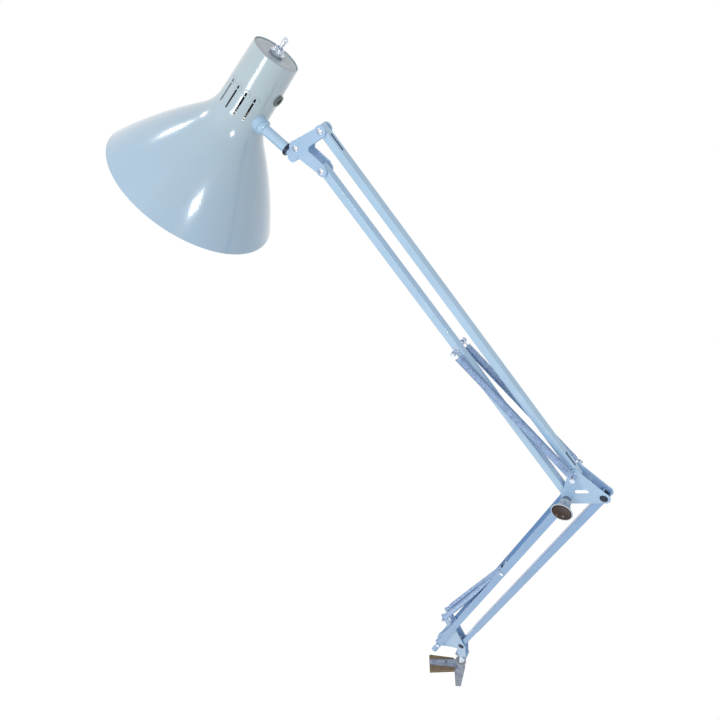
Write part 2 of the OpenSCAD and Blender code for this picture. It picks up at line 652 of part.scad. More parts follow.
// Outer profile from the cap to the rim, as [radius, z], moved inwards by w
function profile(w) = concat([[cap_r - w, 0]],
    [for (i = [0:flare_steps]) let (t = i / flare_steps) [flare_at(t) - w, -neck_len + flare * (1 - 2 * t)]],
    [for (i = [1:bell_steps]) let (d = neck_len + flare + (shade_len - neck_len - flare) * i / bell_steps) [side(d) - w * 1.2, -d]]);
function turned_back(v) = [for (i = [len(v) - 1:-1:0]) v[i]];

cup_r = 9.4;
vent_w = 2.2;
vent_top = 40.6;
vent_len = 28;
vent_step = 22.1;
vent_centre = -71.3;
inlet_turn = 17.5;
inlet_down = 34;
inlet_r = 5;
module vent(a) rotate([0, 0, a]) translate([neck_r, 0, -vent_top - vent_len / 2]) rotate([0, 90, 0])
    translate([0, 0, -neck_r / 2]) linear_extrude(neck_r)
    strip([-(vent_len - vent_w) / 2, 0], [(vent_len - vent_w) / 2, 0], vent_w / 2);
module shade_shell() color("#b9cbd6") shade_frame() difference() {
    rotate_extrude($fn = 96) polygon(concat(profile(0), turned_back(profile(shade_wall))));
    for (g = [0, 180]) for (i = [0:vents - 1]) vent(vent_centre + g + (i - (vents - 1) / 2) * vent_step);
    rotate([0, 0, inlet_turn]) translate([0, 0, -inlet_down]) rotate([0, 90, 0]) cylinder(r = inlet_r + seat, h = 2 * neck_r);
    translate([0, 0, -ball_down]) rotate([0, 90, 0]) cylinder(r = cup_r + seat, h = 2 * neck_r);
}

// Cup in the neck's wall that holds the ball
cup_depth = 12;
cup_lip = 1.5;
module ball_cup() color("#bcd3e8") shade_frame() translate([ball_out, 0, -ball_down]) difference() {
    translate([-cup_depth, 0, 0]) rotate([0, 90, 0]) cylinder(r = cup_r, h = cup_depth + cup_lip);
    sphere(r = ball_r + fit, $fn = 64);
}

cap_t = 1.4;
cap_skirt = 6;
module end_cap() color("#a9b7bf") shade_frame() difference() {
    union() {
        cylinder(r = cap_r, h = cap_t);
        translate([0, 0, -cap_skirt]) cylinder(r = cap_r - shade_wall - seat, h = cap_skirt);
    }
    translate([0, 0, -cap_skirt - cut]) cylinder(r = cap_r - 2 * shade_wall - seat, h = cap_skirt + cut);
    translate([0, 0, -cut]) cylinder(r = bushing_r + seat, h = cap_t + 2 * cut);
}

// Switch in the cap
bushing_r = 5.5;
bushing_in_r = 3.3;
bushing_up = 7;
switch_w = 13;
switch_d = 8;
switch_h = 17;
lever_turn = 124;
lever_lean = 12;
lever_pivot = 2.5;
lever_ball_r = 2.9;
lever_len = 17;
lever_r0 = 1.5;
lever_r1 = 2.4;
nut_across = 15;
nut_h = 2.2;
module switch_body() color("#2e2e30") shade_frame() rotate([0, 0, lever_turn]) difference() {
    translate([-switch_w / 2, -switch_d / 2, -switch_h - cap_t]) cube([switch_w, switch_d, switch_h + cap_t]);
    translate([0, 0, -lever_ball_r - cut]) cylinder(r = bushing_in_r, h = 2 * lever_ball_r);
}
module switch_bushing() color("silver") shade_frame() difference() {
    cylinder(r = bushing_r, h = cap_t + bushing_up);
    translate([0, 0, -cut]) cylinder(r = bushing_in_r, h = lever_pivot + cut + lever_ball_r);
    translate([0, 0, lever_pivot]) cylinder(r1 = bushing_in_r - fit, r2 = bushing_r - 2 * fit - fit, h = bushing_up + cap_t);
}
module switch_nut() color("silver") shade_frame() translate([0, 0, cap_t]) difference() {
    cylinder(r = nut_across / sqrt(3), h = nut_h, $fn = 6);
    translate([0, 0, -cut]) cylinder(r = bushing_r + seat, h = nut_h + 2 * cut);
}
module switch_lever() color("silver") shade_frame() translate([0, 0, lever_pivot])
    rotate([0, 0, lever_turn]) rotate([0, lever_lean, 0]) {
        sphere(r = lever_ball_r);
        cylinder(r1 = lever_r0, r2 = lever_r1, h = lever_len);
        translate([0, 0, lever_len]) sphere(r = lever_r1);
    }

// Lampholder, held under the cap by a strap
strap_w = 9;
strap_t = 1.2;
strap_x = 16;
holder_top = 24;
holder_len = 38;
holder_r = 17.5;
holder_in_r = 13.6;
contact_r = 3;
module holder_strap() color("#c8ccd0") shade_frame() {
    for (s = [-1, 1]) translate([s * strap_x - strap_t / 2, -strap_w / 2, -holder_top])
        cube([strap_t, strap_w, holder_top]);
    translate([-strap_x, -strap_w / 2, -holder_top]) cube([2 * strap_x, strap_w, strap_t]);
}
module lampholder() color("#2b2b2d") shade_frame() difference() {
    translate([0, 0, -holder_top - holder_len]) cylinder(r = holder_r, h = holder_len);
    translate([0, 0, -holder_top - holder_len - cut]) cylinder(r = holder_in_r, h = holder_len - 2 * contact_r + cut);
    translate([0, 0, -holder_top - 2 * contact_r - cut]) cylinder(r = contact_r + seat, h = contact_r + cut);
}
module holder_contact() color("#c9a45a") shade_frame()
    translate([0, 0, -holder_top - 2 * contact_r - 1]) cylinder(r = contact_r, h = contact_r + 1);

bulb_cap_r = 13;
bulb_cap_top = holder_top + 2 * contact_r + 1 + run;
bulb_cap_len = 27;
bulb_neck_r = 12.2;
module bulb_cap() color("#c9a45a") shade_frame() translate([0, 0, -bulb_cap_top]) {
    translate([0, 0, -bulb_cap_len]) cylinder(r = bulb_cap_r, h = bulb_cap_len - contact_r);
    translate([0, 0, -contact_r]) cylinder(r1 = bulb_cap_r - contact_r, r2 = contact_r, h = contact_r);
}
// Glass: a globe on a drawn neck, as [radius, z] from the cap's lower edge
glass_wall = 0.8;
glass_neck = 38;
glass_steps = 16;
globe_drop = glass_neck + bulb_r * 0.55;
globe_start = 146;
function glass_outline(w) = concat([[bulb_neck_r - w, 0], [bulb_neck_r + 2 - w, -glass_neck * 0.35]],
    [for (i = [0:glass_steps]) let (a = globe_start * (1 - i / glass_steps))
        [(bulb_r - w) * sin(a), -globe_drop - (bulb_r - w) * cos(a)]]);
module bulb_glass() color([0.95, 0.95, 0.92, 0.6]) shade_frame() translate([0, 0, -bulb_cap_top - bulb_cap_len])
    rotate_extrude() polygon(concat(glass_outline(0), turned_back(glass_outline(glass_wall))));

grommet_flange = 1.6;
grommet_r = 3.4;
inlet_out = side(inlet_down + inlet_r + grommet_flange) + 0.02; // touches the wall at its lower edge
module cord_grommet() color("#3a3a3a") shade_frame() rotate([0, 0, inlet_turn]) translate([0, 0, -inlet_down])
    rotate([0, 90, 0]) difference() {
        union() {
            translate([0, 0, inlet_out - 2 * grommet_flange]) cylinder(r = inlet_r, h = 2 * grommet_flange);
            translate([0, 0, inlet_out]) cylinder(r = inlet_r + grommet_flange, h = grommet_flange);
        }
        translate([0, 0, neck_r / 2]) cylinder(r = grommet_r, h = neck_r);
    }

clamp_body();
jaw_pad();
pad_rivets();
swivel_bush();
screw_pad();
clamp_screw();
tommy_bar();
swivel_pin();
bracket_near();
bracket_far();
bracket_foot();
foot_rivets();
base_bolt();
base_washers();
rear_rivets();
horn_pin();
lower_front_tube();
lower_end_fitting();
lower_rear_channel();
channel_spring_pin();
lower_spring_near();
lower_spring_far();
elbow_plate_near();
elbow_plate_far();
elbow_bolt();
elbow_washers();
elbow_bushes();
knob_bolt();
spring_pivot_pin();
elbow_knob();
upper_front_tube();
upper_rear_tube();
tube_spring_pin();
upper_spring_near();
upper_spring_far();
head_plate_near();
head_plate_far();
head_rivets();
head_washers();
head_block();
swivel_collar();
shade_rod();
ball_cup();
shade_shell();
end_cap();
holder_strap();
lampholder();
holder_contact();
bulb_cap();
bulb_glass();
switch_body();
switch_bushing();
switch_nut();
switch_lever();
cord_grommet();
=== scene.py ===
import json
import math

import bmesh
import bpy
from mathutils import Matrix, Vector


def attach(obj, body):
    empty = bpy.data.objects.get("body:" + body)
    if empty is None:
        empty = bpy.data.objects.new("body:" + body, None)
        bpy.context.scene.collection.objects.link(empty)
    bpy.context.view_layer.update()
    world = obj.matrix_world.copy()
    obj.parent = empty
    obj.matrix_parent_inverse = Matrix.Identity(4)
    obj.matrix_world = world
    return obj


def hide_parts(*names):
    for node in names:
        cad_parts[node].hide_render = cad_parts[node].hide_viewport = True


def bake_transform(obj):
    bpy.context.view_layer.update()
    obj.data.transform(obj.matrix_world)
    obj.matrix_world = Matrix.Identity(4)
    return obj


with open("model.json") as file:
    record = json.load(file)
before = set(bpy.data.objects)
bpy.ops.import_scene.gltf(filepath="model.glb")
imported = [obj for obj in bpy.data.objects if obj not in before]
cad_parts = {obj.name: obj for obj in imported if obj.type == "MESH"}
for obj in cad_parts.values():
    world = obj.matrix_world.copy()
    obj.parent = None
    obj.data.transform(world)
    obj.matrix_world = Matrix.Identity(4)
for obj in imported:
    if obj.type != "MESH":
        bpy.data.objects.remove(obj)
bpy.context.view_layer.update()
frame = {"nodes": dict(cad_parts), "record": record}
record = frame["record"]
bodyOf = {node: body for body, nodes in record["behaviour"]["bodies"].items() for node in nodes}
slotOf = {part["node"]: part["material_slot"] for part in record["subparts"]}
mm = 0.001
print("frame loaded:", len(frame["nodes"]), "nodes")


# Places on the lamp, in the arms' own plane
def along(angle, length):  # from +X towards +Z
    return Vector((math.cos(math.radians(angle)), 0, math.sin(math.radians(angle)))) * length * mm


arms = {"swivel": (27.621, 14.074), "pivotHeight": 77.8, "pivotBack": 2.7, "linkAcross": 37, "linkDown": 23,
        "pivotRise": 41.5, "lower": 468, "upper": 464.5, "lowerAngle": 74.5, "upperAngle": 134.6,
        "hornReach": 69.9, "hornAngle": 120.2, "lowerSpringReach": 275, "upperSpringReach": 223}
headPlace = {"noseBack": 31.2, "noseDown": 22.8, "rodAngle": 149.4, "rodSide": 13.1, "rodStart": 8.6,
             "rodReach": 38.6}
shadePlace = {"swing": 23.8, "tilt": 36.7, "roll": -37.3, "ballOut": 33.5, "ballDown": 63.5}
clampTurn = 27
link = Vector((-arms["linkAcross"], 0, -arms["linkDown"])) * mm
frontFoot = Vector((arms["swivel"][0] - arms["pivotBack"], arms["swivel"][1], arms["pivotHeight"])) * mm
rearFoot = frontFoot + link
frontTop = frontFoot + along(arms["lowerAngle"], arms["lower"])
rearElbow = frontTop + link
frontElbow = rearElbow + Vector((0, 0, arms["pivotRise"] * mm))
frontHead = frontElbow + along(arms["upperAngle"], arms["upper"])
rearHead = rearElbow + along(arms["upperAngle"], arms["upper"])
nose = frontHead + Vector((-headPlace["noseBack"], 0, -headPlace["noseDown"])) * mm
rodFoot = (nose + along(headPlace["rodAngle"] + 90, headPlace["rodSide"])
           + along(headPlace["rodAngle"], headPlace["rodStart"]))
ball = rodFoot + along(headPlace["rodAngle"], headPlace["rodReach"])
horn = frontFoot + along(arms["hornAngle"], arms["hornReach"])
lowerSpringPin = rearFoot + along(arms["lowerAngle"], arms["lowerSpringReach"])
upperSpringPin = rearElbow + along(arms["upperAngle"], arms["upperSpringReach"])
shadeFrame = (Matrix.Translation(ball) @ Matrix.Rotation(math.radians(shadePlace["swing"]), 4, "Z")
              @ Matrix.Rotation(math.radians(shadePlace["tilt"]), 4, "Y")
              @ Matrix.Rotation(math.radians(shadePlace["roll"]), 4, "Z")
              @ Matrix.Translation(Vector((-shadePlace["ballOut"], 0, shadePlace["ballDown"])) * mm))
clampFrame = Matrix.Rotation(math.radians(clampTurn), 4, "Z")

# Camera: a plain 32 mm lens on a 36 mm wide sensor, looking down at the desk from the lamp's near side
view = {"place": (0.14312, -0.53183, 1.0978), "look": (-0.3897, 0.6783, -0.6230),
        "across": (0.8671, 0.4982, 0), "lens": 31.87}
back = -Vector(view["look"]).normalized()
across = Vector(view["across"]).normalized()
upward = back.cross(across)
cameraData = bpy.data.cameras.new("camera")
cameraData.lens = view["lens"]
cameraData.sensor_width = 36
cameraData.clip_start = 0.02
cameraData.clip_end = 30
cameraObject = bpy.data.objects.new("camera", cameraData)
bpy.context.scene.collection.objects.link(cameraObject)
cameraObject.matrix_world = (Matrix.Translation(view["place"])
                             @ Matrix((across, upward, back)).transposed().to_4x4())
bpy.context.scene.camera = cameraObject
bpy.context.scene.view_settings.view_transform = "Standard"
print("camera set")


# Materials
def linear(colour):  # sRGB hex to linear
    parts = [int(colour[i:i + 2], 16) / 255 for i in (1, 3, 5)]
    return tuple(c / 12.92 if c <= 0.04045 else ((c + 0.055) / 1.055) ** 2.4 for c in parts) + (1.0,)


def addNode(tree, kind, sockets=None, **settings):
    node = tree.nodes.new(kind)
    for name, value in settings.items():
        setattr(node, name, value)
    for name, value in (sockets or {}).items():
        if isinstance(value, bpy.types.NodeSocket):
            tree.links.new(value, node.inputs[name])
        else:
            node.inputs[name].default_value = value
    return node


def newMaterial(name):
    material = bpy.data.materials.new(name)
    material.use_nodes = True
    tree = material.node_tree
    tree.nodes.clear()
    shader = addNode(tree, "ShaderNodeBsdfPrincipled")
    addNode(tree, "ShaderNodeOutputMaterial", {"Surface": shader.outputs["BSDF"]})
    place = addNode(tree, "ShaderNodeTexCoord").outputs["Object"]
    return material, tree, shader, place


def joinSurface(tree, shader, colour, rough, bump):
    for name, source in (("Base Color", colour), ("Roughness", rough), ("Normal", bump)):
        tree.links.new(source, shader.inputs[name])


# Stoved enamel on steel: glossy, with a shallow orange peel about 2 mm across, slow drifts of tone
# where it has aged, and fine dust nibs
def stovedEnamel(name, colour, aged, gloss=0.2, peel=0.10, nibs=0.5, coat=0.35):
    material, tree, shader, place = newMaterial(name)
    drift = addNode(tree, "ShaderNodeTexNoise",
                    {"Vector": place, "Scale": 1 / (38 * mm), "Detail": 3.0, "Roughness": 0.55})
    driftShare = addNode(tree, "ShaderNodeMapRange",
                         {"Value": drift.outputs[0], "From Min": 0.35, "From Max": 0.7, "To Max": 0.55})
    nib = addNode(tree, "ShaderNodeTexNoise", {"Vector": place, "Scale": 1 / (1.6 * mm), "Detail": 1.0})
    nibShare = addNode(tree, "ShaderNodeMapRange",
                       {"Value": nib.outputs[0], "From Min": 0.72, "From Max": 0.8, "To Max": nibs})
    smudge = addNode(tree, "ShaderNodeTexNoise",
                     {"Vector": place, "Scale": 1 / (14 * mm), "Detail": 5.0, "Roughness": 0.65})
    rough = addNode(tree, "ShaderNodeMapRange",
                    {"Value": smudge.outputs[0], "From Min": 0.3, "From Max": 0.75, "To Min": gloss - 0.03,
                     "To Max": gloss + 0.1})
    peelNoise = addNode(tree, "ShaderNodeTexNoise", {"Vector": place, "Scale": 1 / (2.4 * mm), "Detail": 1.0})
    bump = addNode(tree, "ShaderNodeBump",
                   {"Height": peelNoise.outputs[0], "Strength": peel, "Distance": 0.05 * mm})
    tone = addNode(tree, "ShaderNodeMix", {0: driftShare.outputs[0], 6: linear(colour), 7: linear(aged)},
                   data_type="RGBA")
    dusty = addNode(tree, "ShaderNodeMix",
                    {0: nibShare.outputs[0], 6: tone.outputs[2], 7: linear("#5d6468")}, data_type="RGBA")
    joinSurface(tree, shader, dusty.outputs[2], rough.outputs[0], bump.outputs[0])
    shader.inputs["IOR"].default_value = 1.5
    shader.inputs["Coat Weight"].default_value = coat
    shader.inputs["Coat Roughness"].default_value = 0.06
    return material


# The shade's enamel carries painted light along its length: a greyer tone at the neck that turns to a clearer
# blue at the rim
def shadeEnamel(name, warmEnd, rimPaintedTone, depth):
    material = stovedEnamel(name, warmEnd, warmEnd, gloss=0.16, peel=0.06, nibs=0.25, coat=0.6)
    tree = material.node_tree
    place = [n for n in tree.nodes if n.type == "TEX_COORD"][0].outputs["Object"]
    shader = [n for n in tree.nodes if n.type == "BSDF_PRINCIPLED"][0]
    axis = shadeFrame.to_3x3() @ Vector((0, 0, -1))
    start = shadeFrame.translation
    depthAlong = addNode(tree, "ShaderNodeVectorMath", {0: place, 1: axis / (depth * mm)},
                         operation="DOT_PRODUCT")
    share = addNode(tree, "ShaderNodeMapRange",
                    {"Value": depthAlong.outputs["Value"], "From Min": start.dot(axis) / (depth * mm) + 0.1,
                     "From Max": start.dot(axis) / (depth * mm) + 1.0}, interpolation_type="SMOOTHSTEP")
    dusty = shader.inputs["Base Color"].links[0].from_node
    tone = dusty.inputs[6].links[0].from_node
    # painted light: the colour runs from the neck's grey tone to the rim's blue tone along the shade's axis
    paintedLightTones = addNode(tree, "ShaderNodeMix", {0: share.outputs[0], 6: linear(warmEnd), 7: linear(rimPaintedTone)},
                   data_type="RGBA")
    tree.links.new(paintedLightTones.outputs[2], tone.inputs[6])
    dulled = addNode(tree, "ShaderNodeHueSaturation",
                     {"Saturation": 0.8, "Value": 0.93, "Color": paintedLightTones.outputs[2]})
    tree.links.new(dulled.outputs[0], tone.inputs[7])
    return material


# Enamel over a sand casting: the casting's grain, about 1 mm, still shows through the paint
def castEnamel(name, colour, aged):
    material, tree, shader, place = newMaterial(name)
    drift = addNode(tree, "ShaderNodeTexNoise", {"Vector": place, "Scale": 1 / (12 * mm), "Detail": 4.0})
    share = addNode(tree, "ShaderNodeMapRange",
                    {"Value": drift.outputs[0], "From Min": 0.4, "From Max": 0.68})
    grain = addNode(tree, "ShaderNodeTexNoise", {"Vector": place, "Scale": 1 / (1.1 * mm), "Detail": 3.0})
    bump = addNode(tree, "ShaderNodeBump",
                   {"Height": grain.outputs[0], "Strength": 0.45, "Distance": 0.25 * mm})
    tone = addNode(tree, "ShaderNodeMix", {0: share.outputs[0], 6: linear(colour), 7: linear(aged)},
                   data_type="RGBA")
    rough = addNode(tree, "ShaderNodeMapRange", {"Value": drift.outputs[0], "To Min": 0.32, "To Max": 0.5})
    joinSurface(tree, shader, tone.outputs[2], rough.outputs[0], bump.outputs[0])
    shader.inputs["Coat Weight"].default_value = 0.2
    shader.inputs["Coat Roughness"].default_value = 0.15
    return material


# Plated steel: a mirror-like metal, dulled by hairline scratches and a little tarnish
def platedSteel(name, colour, tarnish, polish=0.16, scratch=0.12, edgeTint="#ffffff"):
    material, tree, shader, place = newMaterial(name)
    stretched = addNode(tree, "ShaderNodeMapping",
                        {"Vector": place, "Scale": (1 / (0.5 * mm), 1 / (6 * mm), 1 / (0.7 * mm))})
    hairlines = addNode(tree, "ShaderNodeTexNoise",
                        {"Vector": stretched.outputs[0], "Scale": 1.0, "Detail": 3.0})
    cloud = addNode(tree, "ShaderNodeTexNoise", {"Vector": place, "Scale": 1 / (5 * mm), "Detail": 4.0})
    share = addNode(tree, "ShaderNodeMapRange",
                    {"Value": cloud.outputs[0], "From Min": 0.45, "From Max": 0.75, "To Max": 0.7})
    tone = addNode(tree, "ShaderNodeMix", {0: share.outputs[0], 6: linear(colour), 7: linear(tarnish)},
                   data_type="RGBA")
    rough = addNode(tree, "ShaderNodeMapRange",
                    {"Value": hairlines.outputs[0], "From Min": 0.3, "From Max": 0.7, "To Min": polish,
                     "To Max": polish + scratch})
    bump = addNode(tree, "ShaderNodeBump",
                   {"Height": hairlines.outputs[0], "Strength": 0.08, "Distance": 0.03 * mm})
    joinSurface(tree, shader, tone.outputs[2], rough.outputs[0], bump.outputs[0])
    shader.inputs["Metallic"].default_value = 1.0
    shader.inputs["Specular Tint"].default_value = linear(edgeTint)
    return material


# Moulded and pressed parts: nylon, phenolic, knob plastic, rubber and fibre differ in grain, gloss and fleck
def moulded(name, colour, fleck, gloss, grain, depth, fleckShare=0.5, clear=0.0):
    material, tree, shader, place = newMaterial(name)
    cloud = addNode(tree, "ShaderNodeTexNoise",
                    {"Vector": place, "Scale": 1 / (grain * 5 * mm), "Detail": 5.0, "Roughness": 0.6})
    fine = addNode(tree, "ShaderNodeTexNoise", {"Vector": place, "Scale": 1 / (grain * mm), "Detail": 3.0})
    share = addNode(tree, "ShaderNodeMapRange",
                    {"Value": cloud.outputs[0], "From Min": 0.38, "From Max": 0.68, "To Max": fleckShare})
    tone = addNode(tree, "ShaderNodeMix", {0: share.outputs[0], 6: linear(colour), 7: linear(fleck)},
                   data_type="RGBA")
    rough = addNode(tree, "ShaderNodeMapRange", {"Value": fine.outputs[0], "From Min": 0.3, "From Max": 0.7,
                                                 "To Min": gloss, "To Max": min(gloss + 0.15, 1.0)})
    bump = addNode(tree, "ShaderNodeBump",
                   {"Height": fine.outputs[0], "Strength": 0.4, "Distance": depth * mm})
    joinSurface(tree, shader, tone.outputs[2], rough.outputs[0], bump.outputs[0])
    shader.inputs["Coat Weight"].default_value = clear
    return material


# Blown glass: clear, with faint draw marks
def blownGlass(name):
    material, tree, shader, place = newMaterial(name)
    drawn = addNode(tree, "ShaderNodeTexNoise", {"Vector": place, "Scale": 1 / (9 * mm), "Detail": 1.0})
    bump = addNode(tree, "ShaderNodeBump",
                   {"Height": drawn.outputs[0], "Strength": 0.1, "Distance": 0.1 * mm})
    tree.links.new(bump.outputs[0], shader.inputs["Normal"])
    shader.inputs["Base Color"].default_value = linear("#f6f7f4")
    shader.inputs["Roughness"].default_value = 0.02
    shader.inputs["IOR"].default_value = 1.5
    shader.inputs["Transmission Weight"].default_value = 1.0
    return material


# Stoved enamels: glossy pale blue, with painted light greying the shade towards its neck, the cap painted
# darker as a dull reflection, and the lower arm painted a deeper blue as shade
finish = {"shade_enamel": shadeEnamel("shadeStovedEnamel", "#b5c8d1", "#a7c3da", 175),
          # the cap's enamel is painted darker and greyer than the shade as a painted dull reflection
          "cap_enamel": stovedEnamel("capEnamelPaintedReflection", "#a2b0ba", "#8f9ca4", gloss=0.24),
          "upper_arm_enamel": stovedEnamel("upperArmEnamel", "#b3d3ee", "#a3c4de", gloss=0.22),
          # the lower arm is the upper arm's enamel, painted a deeper blue as shade
          "lower_arm_enamel": stovedEnamel("lowerArmShadedEnamel", "#8db4de", "#86a8cc", gloss=0.24),
          "plate_enamel": stovedEnamel("plateEnamel", "#adcdec", "#9bbad8", gloss=0.24),
          # Painted casting: dull grey-blue, its grain showing
          "cast_enamel": castEnamel("castClampEnamel", "#9ba8ba", "#76839a"),
          # Pressed wood fibre: matt brown with darker flecks
          "brown_pad": moulded("brownPressedFibre", "#8a7860", "#5d4f3e", 0.7, 0.8, 0.12, fleckShare=0.8),
          # Steels: bright nickel, dull grey zinc, blue-grey drawn wire with a dark blue edge tint as painted
          # reflection, dark bolts
          "bright_steel": platedSteel("nickelPlatedSteel", "#d3dbe6", "#9aa3b2"),
          "zinc_steel": platedSteel("zincPlatedSteel", "#8f98a4", "#6b737d", polish=0.42, scratch=0.15),
          # the springs' dark blue edge tint is a painted reflection that darkens the wire towards its edges
          "spring_steel": platedSteel("brightSpringWire", "#a9c0de", "#8197b8", polish=0.5, scratch=0.04,
                                      edgeTint="#30466c"),
          # dark grey steel for the base and elbow bolts and the swivel collar
          "dark_steel": platedSteel("darkGreySteel", "#3d4453", "#272c38", polish=0.3, scratch=0.2),
          # Mouldings: waxy grey nylon, glossy dark phenolic, a pale clear-coated knob and its brown inlay
          "nylon": moulded("greasedNylon", "#a9adb0", "#8d9092", 0.42, 0.6, 0.03),
          "dark_plastic": moulded("mouldedPhenolic", "#2b2a2c", "#1d1b1b", 0.2, 0.5, 0.02, clear=0.2),
          "knob_plastic": moulded("paleKnobPlastic", "#b5c2d0", "#9aa7b6", 0.25, 0.7, 0.03, clear=0.3),
          "knob_face": moulded("brownKnobInlay", "#3a1f12", "#150f14", 0.14, 0.6, 0.02),
          # Brass gone a little brown, clear glass, dull grey rubber
          "brass_parts": platedSteel("plainBrass", "#d9b877", "#a9854a", polish=0.25, scratch=0.15),
          "bulb_glass": blownGlass("clearBlownGlass"),
          "black_rubber": moulded("agedGreyRubber", "#6d7572", "#4c5250", 0.4, 0.4, 0.03),
          # Inside of the shade: soft white, and dark grey inside the neck as painted shade; the filament is
          # dark grey
          "inner_neck": stovedEnamel("paintedShadeNeckEnamel", "#3f4144", "#2d2e30", gloss=0.5, coat=0.0),
          "inner_enamel": stovedEnamel("whiteInnerEnamel", "#eceee9", "#dfe0d8", gloss=0.35, coat=0.1),
          "filament": platedSteel("tungstenWire", "#5b5a58", "#444342", polish=0.35)}
print("materials made:", len(finish))


# Shared ways of making pieces
def newObject(name, mesh):
    obj = bpy.data.objects.new(name, mesh)
    bpy.context.scene.collection.objects.link(obj)
    return obj


def smoothShaded(mesh, sharpAbove=35):
    mesh.polygons.foreach_set("use_smooth", [True] * len(mesh.polygons))
    if sharpAbove:
        mesh.set_sharp_from_angle(angle=math.radians(sharpAbove))


# A finished piece stands in for these nodes, which it hides, and joins their body; it takes their slot's
# finish unless another is given
def placePiece(obj, *nodes, material=None):
    if material is not None:
        obj.data.materials.clear()
        obj.data.materials.append(finish[material])
    elif not obj.data.materials:
        obj.data.materials.append(finish[slotOf[nodes[0]]])
    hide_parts(*nodes)
    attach(obj, bodyOf[nodes[0]])
    return obj


def bakeModifiers(obj):
    bpy.context.view_layer.update()
    graph = bpy.context.evaluated_depsgraph_get()
    mesh = bpy.data.meshes.new_from_object(obj.evaluated_get(graph), depsgraph=graph)
    obj.modifiers.clear()
    obj.data = mesh
    return obj


def pieceName(node):  # upper_rear_tube becomes upperRearTube
    words = node.split("_")
    return words[0] + "".join(word.title() for word in words[1:])


# A softened copy of one CAD node: every edge is rounded, and long corners of folded tube get a wider radius
def softPiece(node, edge, longEdge=0.0, material=None):
    longOver = 20
    mesh = bpy.data.meshes.new(node + "Soft")
    shape = bmesh.new()
    shape.from_mesh(frame["nodes"][node].data)
    bmesh.ops.remove_doubles(shape, verts=shape.verts, dist=0.002 * mm)
    bmesh.ops.dissolve_limit(shape, angle_limit=math.radians(0.5), verts=shape.verts, edges=shape.edges)
    if longEdge:
        corners = [e for e in shape.edges if len(e.link_faces) == 2 and e.is_convex
                   and e.calc_length() > longOver * mm and e.calc_face_angle() > math.radians(60)]
        bmesh.ops.bevel(shape, geom=corners, offset=longEdge * mm, offset_type="OFFSET", segments=4,
                        profile=0.5, affect="EDGES", clamp_overlap=True)
    shape.to_mesh(mesh)
    shape.free()
    for name in ("custom_normal", "sharp_edge", "sharp_face"):
        if name in mesh.attributes:
            mesh.attributes.remove(mesh.attributes[name])
    smoothShaded(mesh, 0)
    obj = newObject(pieceName(node), mesh)
    bevel = obj.modifiers.new("edges", "BEVEL")
    bevel.width = edge * mm
    bevel.segments = 3
    bevel.limit_method = "ANGLE"
    bevel.angle_limit = math.radians(32)
    bevel.harden_normals = True
    bakeModifiers(obj)
    obj.data.materials.clear()
    return placePiece(obj, node, material=material)


def lathePiece(name, profile, columns=64, closed=False, shape=None, matrix=None, sharpAbove=35):
    # turned about local Z; profile is (radius, z) in mm, and shape may change a radius by z and angle
    mesh = bpy.data.meshes.new(name)
    form = bmesh.new()
    rings = []
    for r, z in profile:
        if r < 1e-6:
            rings.append([form.verts.new((0, 0, z * mm))])
            continue
        ring = []
        for i in range(columns):
            a = 2 * math.pi * i / columns
            radius = (shape(r, z, a) if shape else r) * mm
            ring.append(form.verts.new((radius * math.cos(a), radius * math.sin(a), z * mm)))
        rings.append(ring)
    pairs = list(zip(rings, rings[1:])) + ([(rings[-1], rings[0])] if closed else [])
    for low, high in pairs:
        for i in range(columns):
            j = (i + 1) % columns
            corners = [low[i % len(low)], low[j % len(low)], high[j % len(high)], high[i % len(high)]]
            unique = list(dict.fromkeys(corners))
            if len(unique) > 2:
                form.faces.new(unique)
    bmesh.ops.recalc_face_normals(form, faces=form.faces)
    form.to_mesh(mesh)
    form.free()
    if matrix is not None:
        mesh.transform(matrix)
    smoothShaded(mesh, sharpAbove)
    return newObject(name, mesh)


def sweptTube(form, points, radius, sides=10):  # a round wire along these points, added to a bmesh
    rings = []
    turned = None
    for i, point in enumerate(points):
        ahead = (points[min(i + 1, len(points) - 1)] - points[max(i - 1, 0)]).normalized()
        if turned:
            turned = (turned - ahead * turned.dot(ahead)).normalized()
        else:
            turned = ahead.orthogonal().normalized()
        beside = ahead.cross(turned)
        rings.append([form.verts.new(point + radius * (math.cos(2 * math.pi * k / sides) * turned
                                                       + math.sin(2 * math.pi * k / sides) * beside))
                      for k in range(sides)])
    for low, high in zip(rings, rings[1:]):
        for k in range(sides):
            j = (k + 1) % sides
            form.faces.new((low[k], low[j], high[j], high[k]))
    form.faces.new(list(reversed(rings[0])))
    form.faces.new(rings[-1])


def smoothLine(points, steps=6):  # a rounded line through these points
    line = []
    for i in range(len(points) - 1):
        p0, p1, p2, p3 = points[max(i - 1, 0)], points[i], points[i + 1], points[min(i + 2, len(points) - 1)]
        for s in range(steps):
            t = s / steps
            line.append(0.5 * ((2 * p1) + (p2 - p0) * t + (2 * p0 - 5 * p1 + 4 * p2 - p3) * t * t
                               + (3 * p1 - p0 - 3 * p2 + p3) * t * t * t))
    return line + [points[-1]]


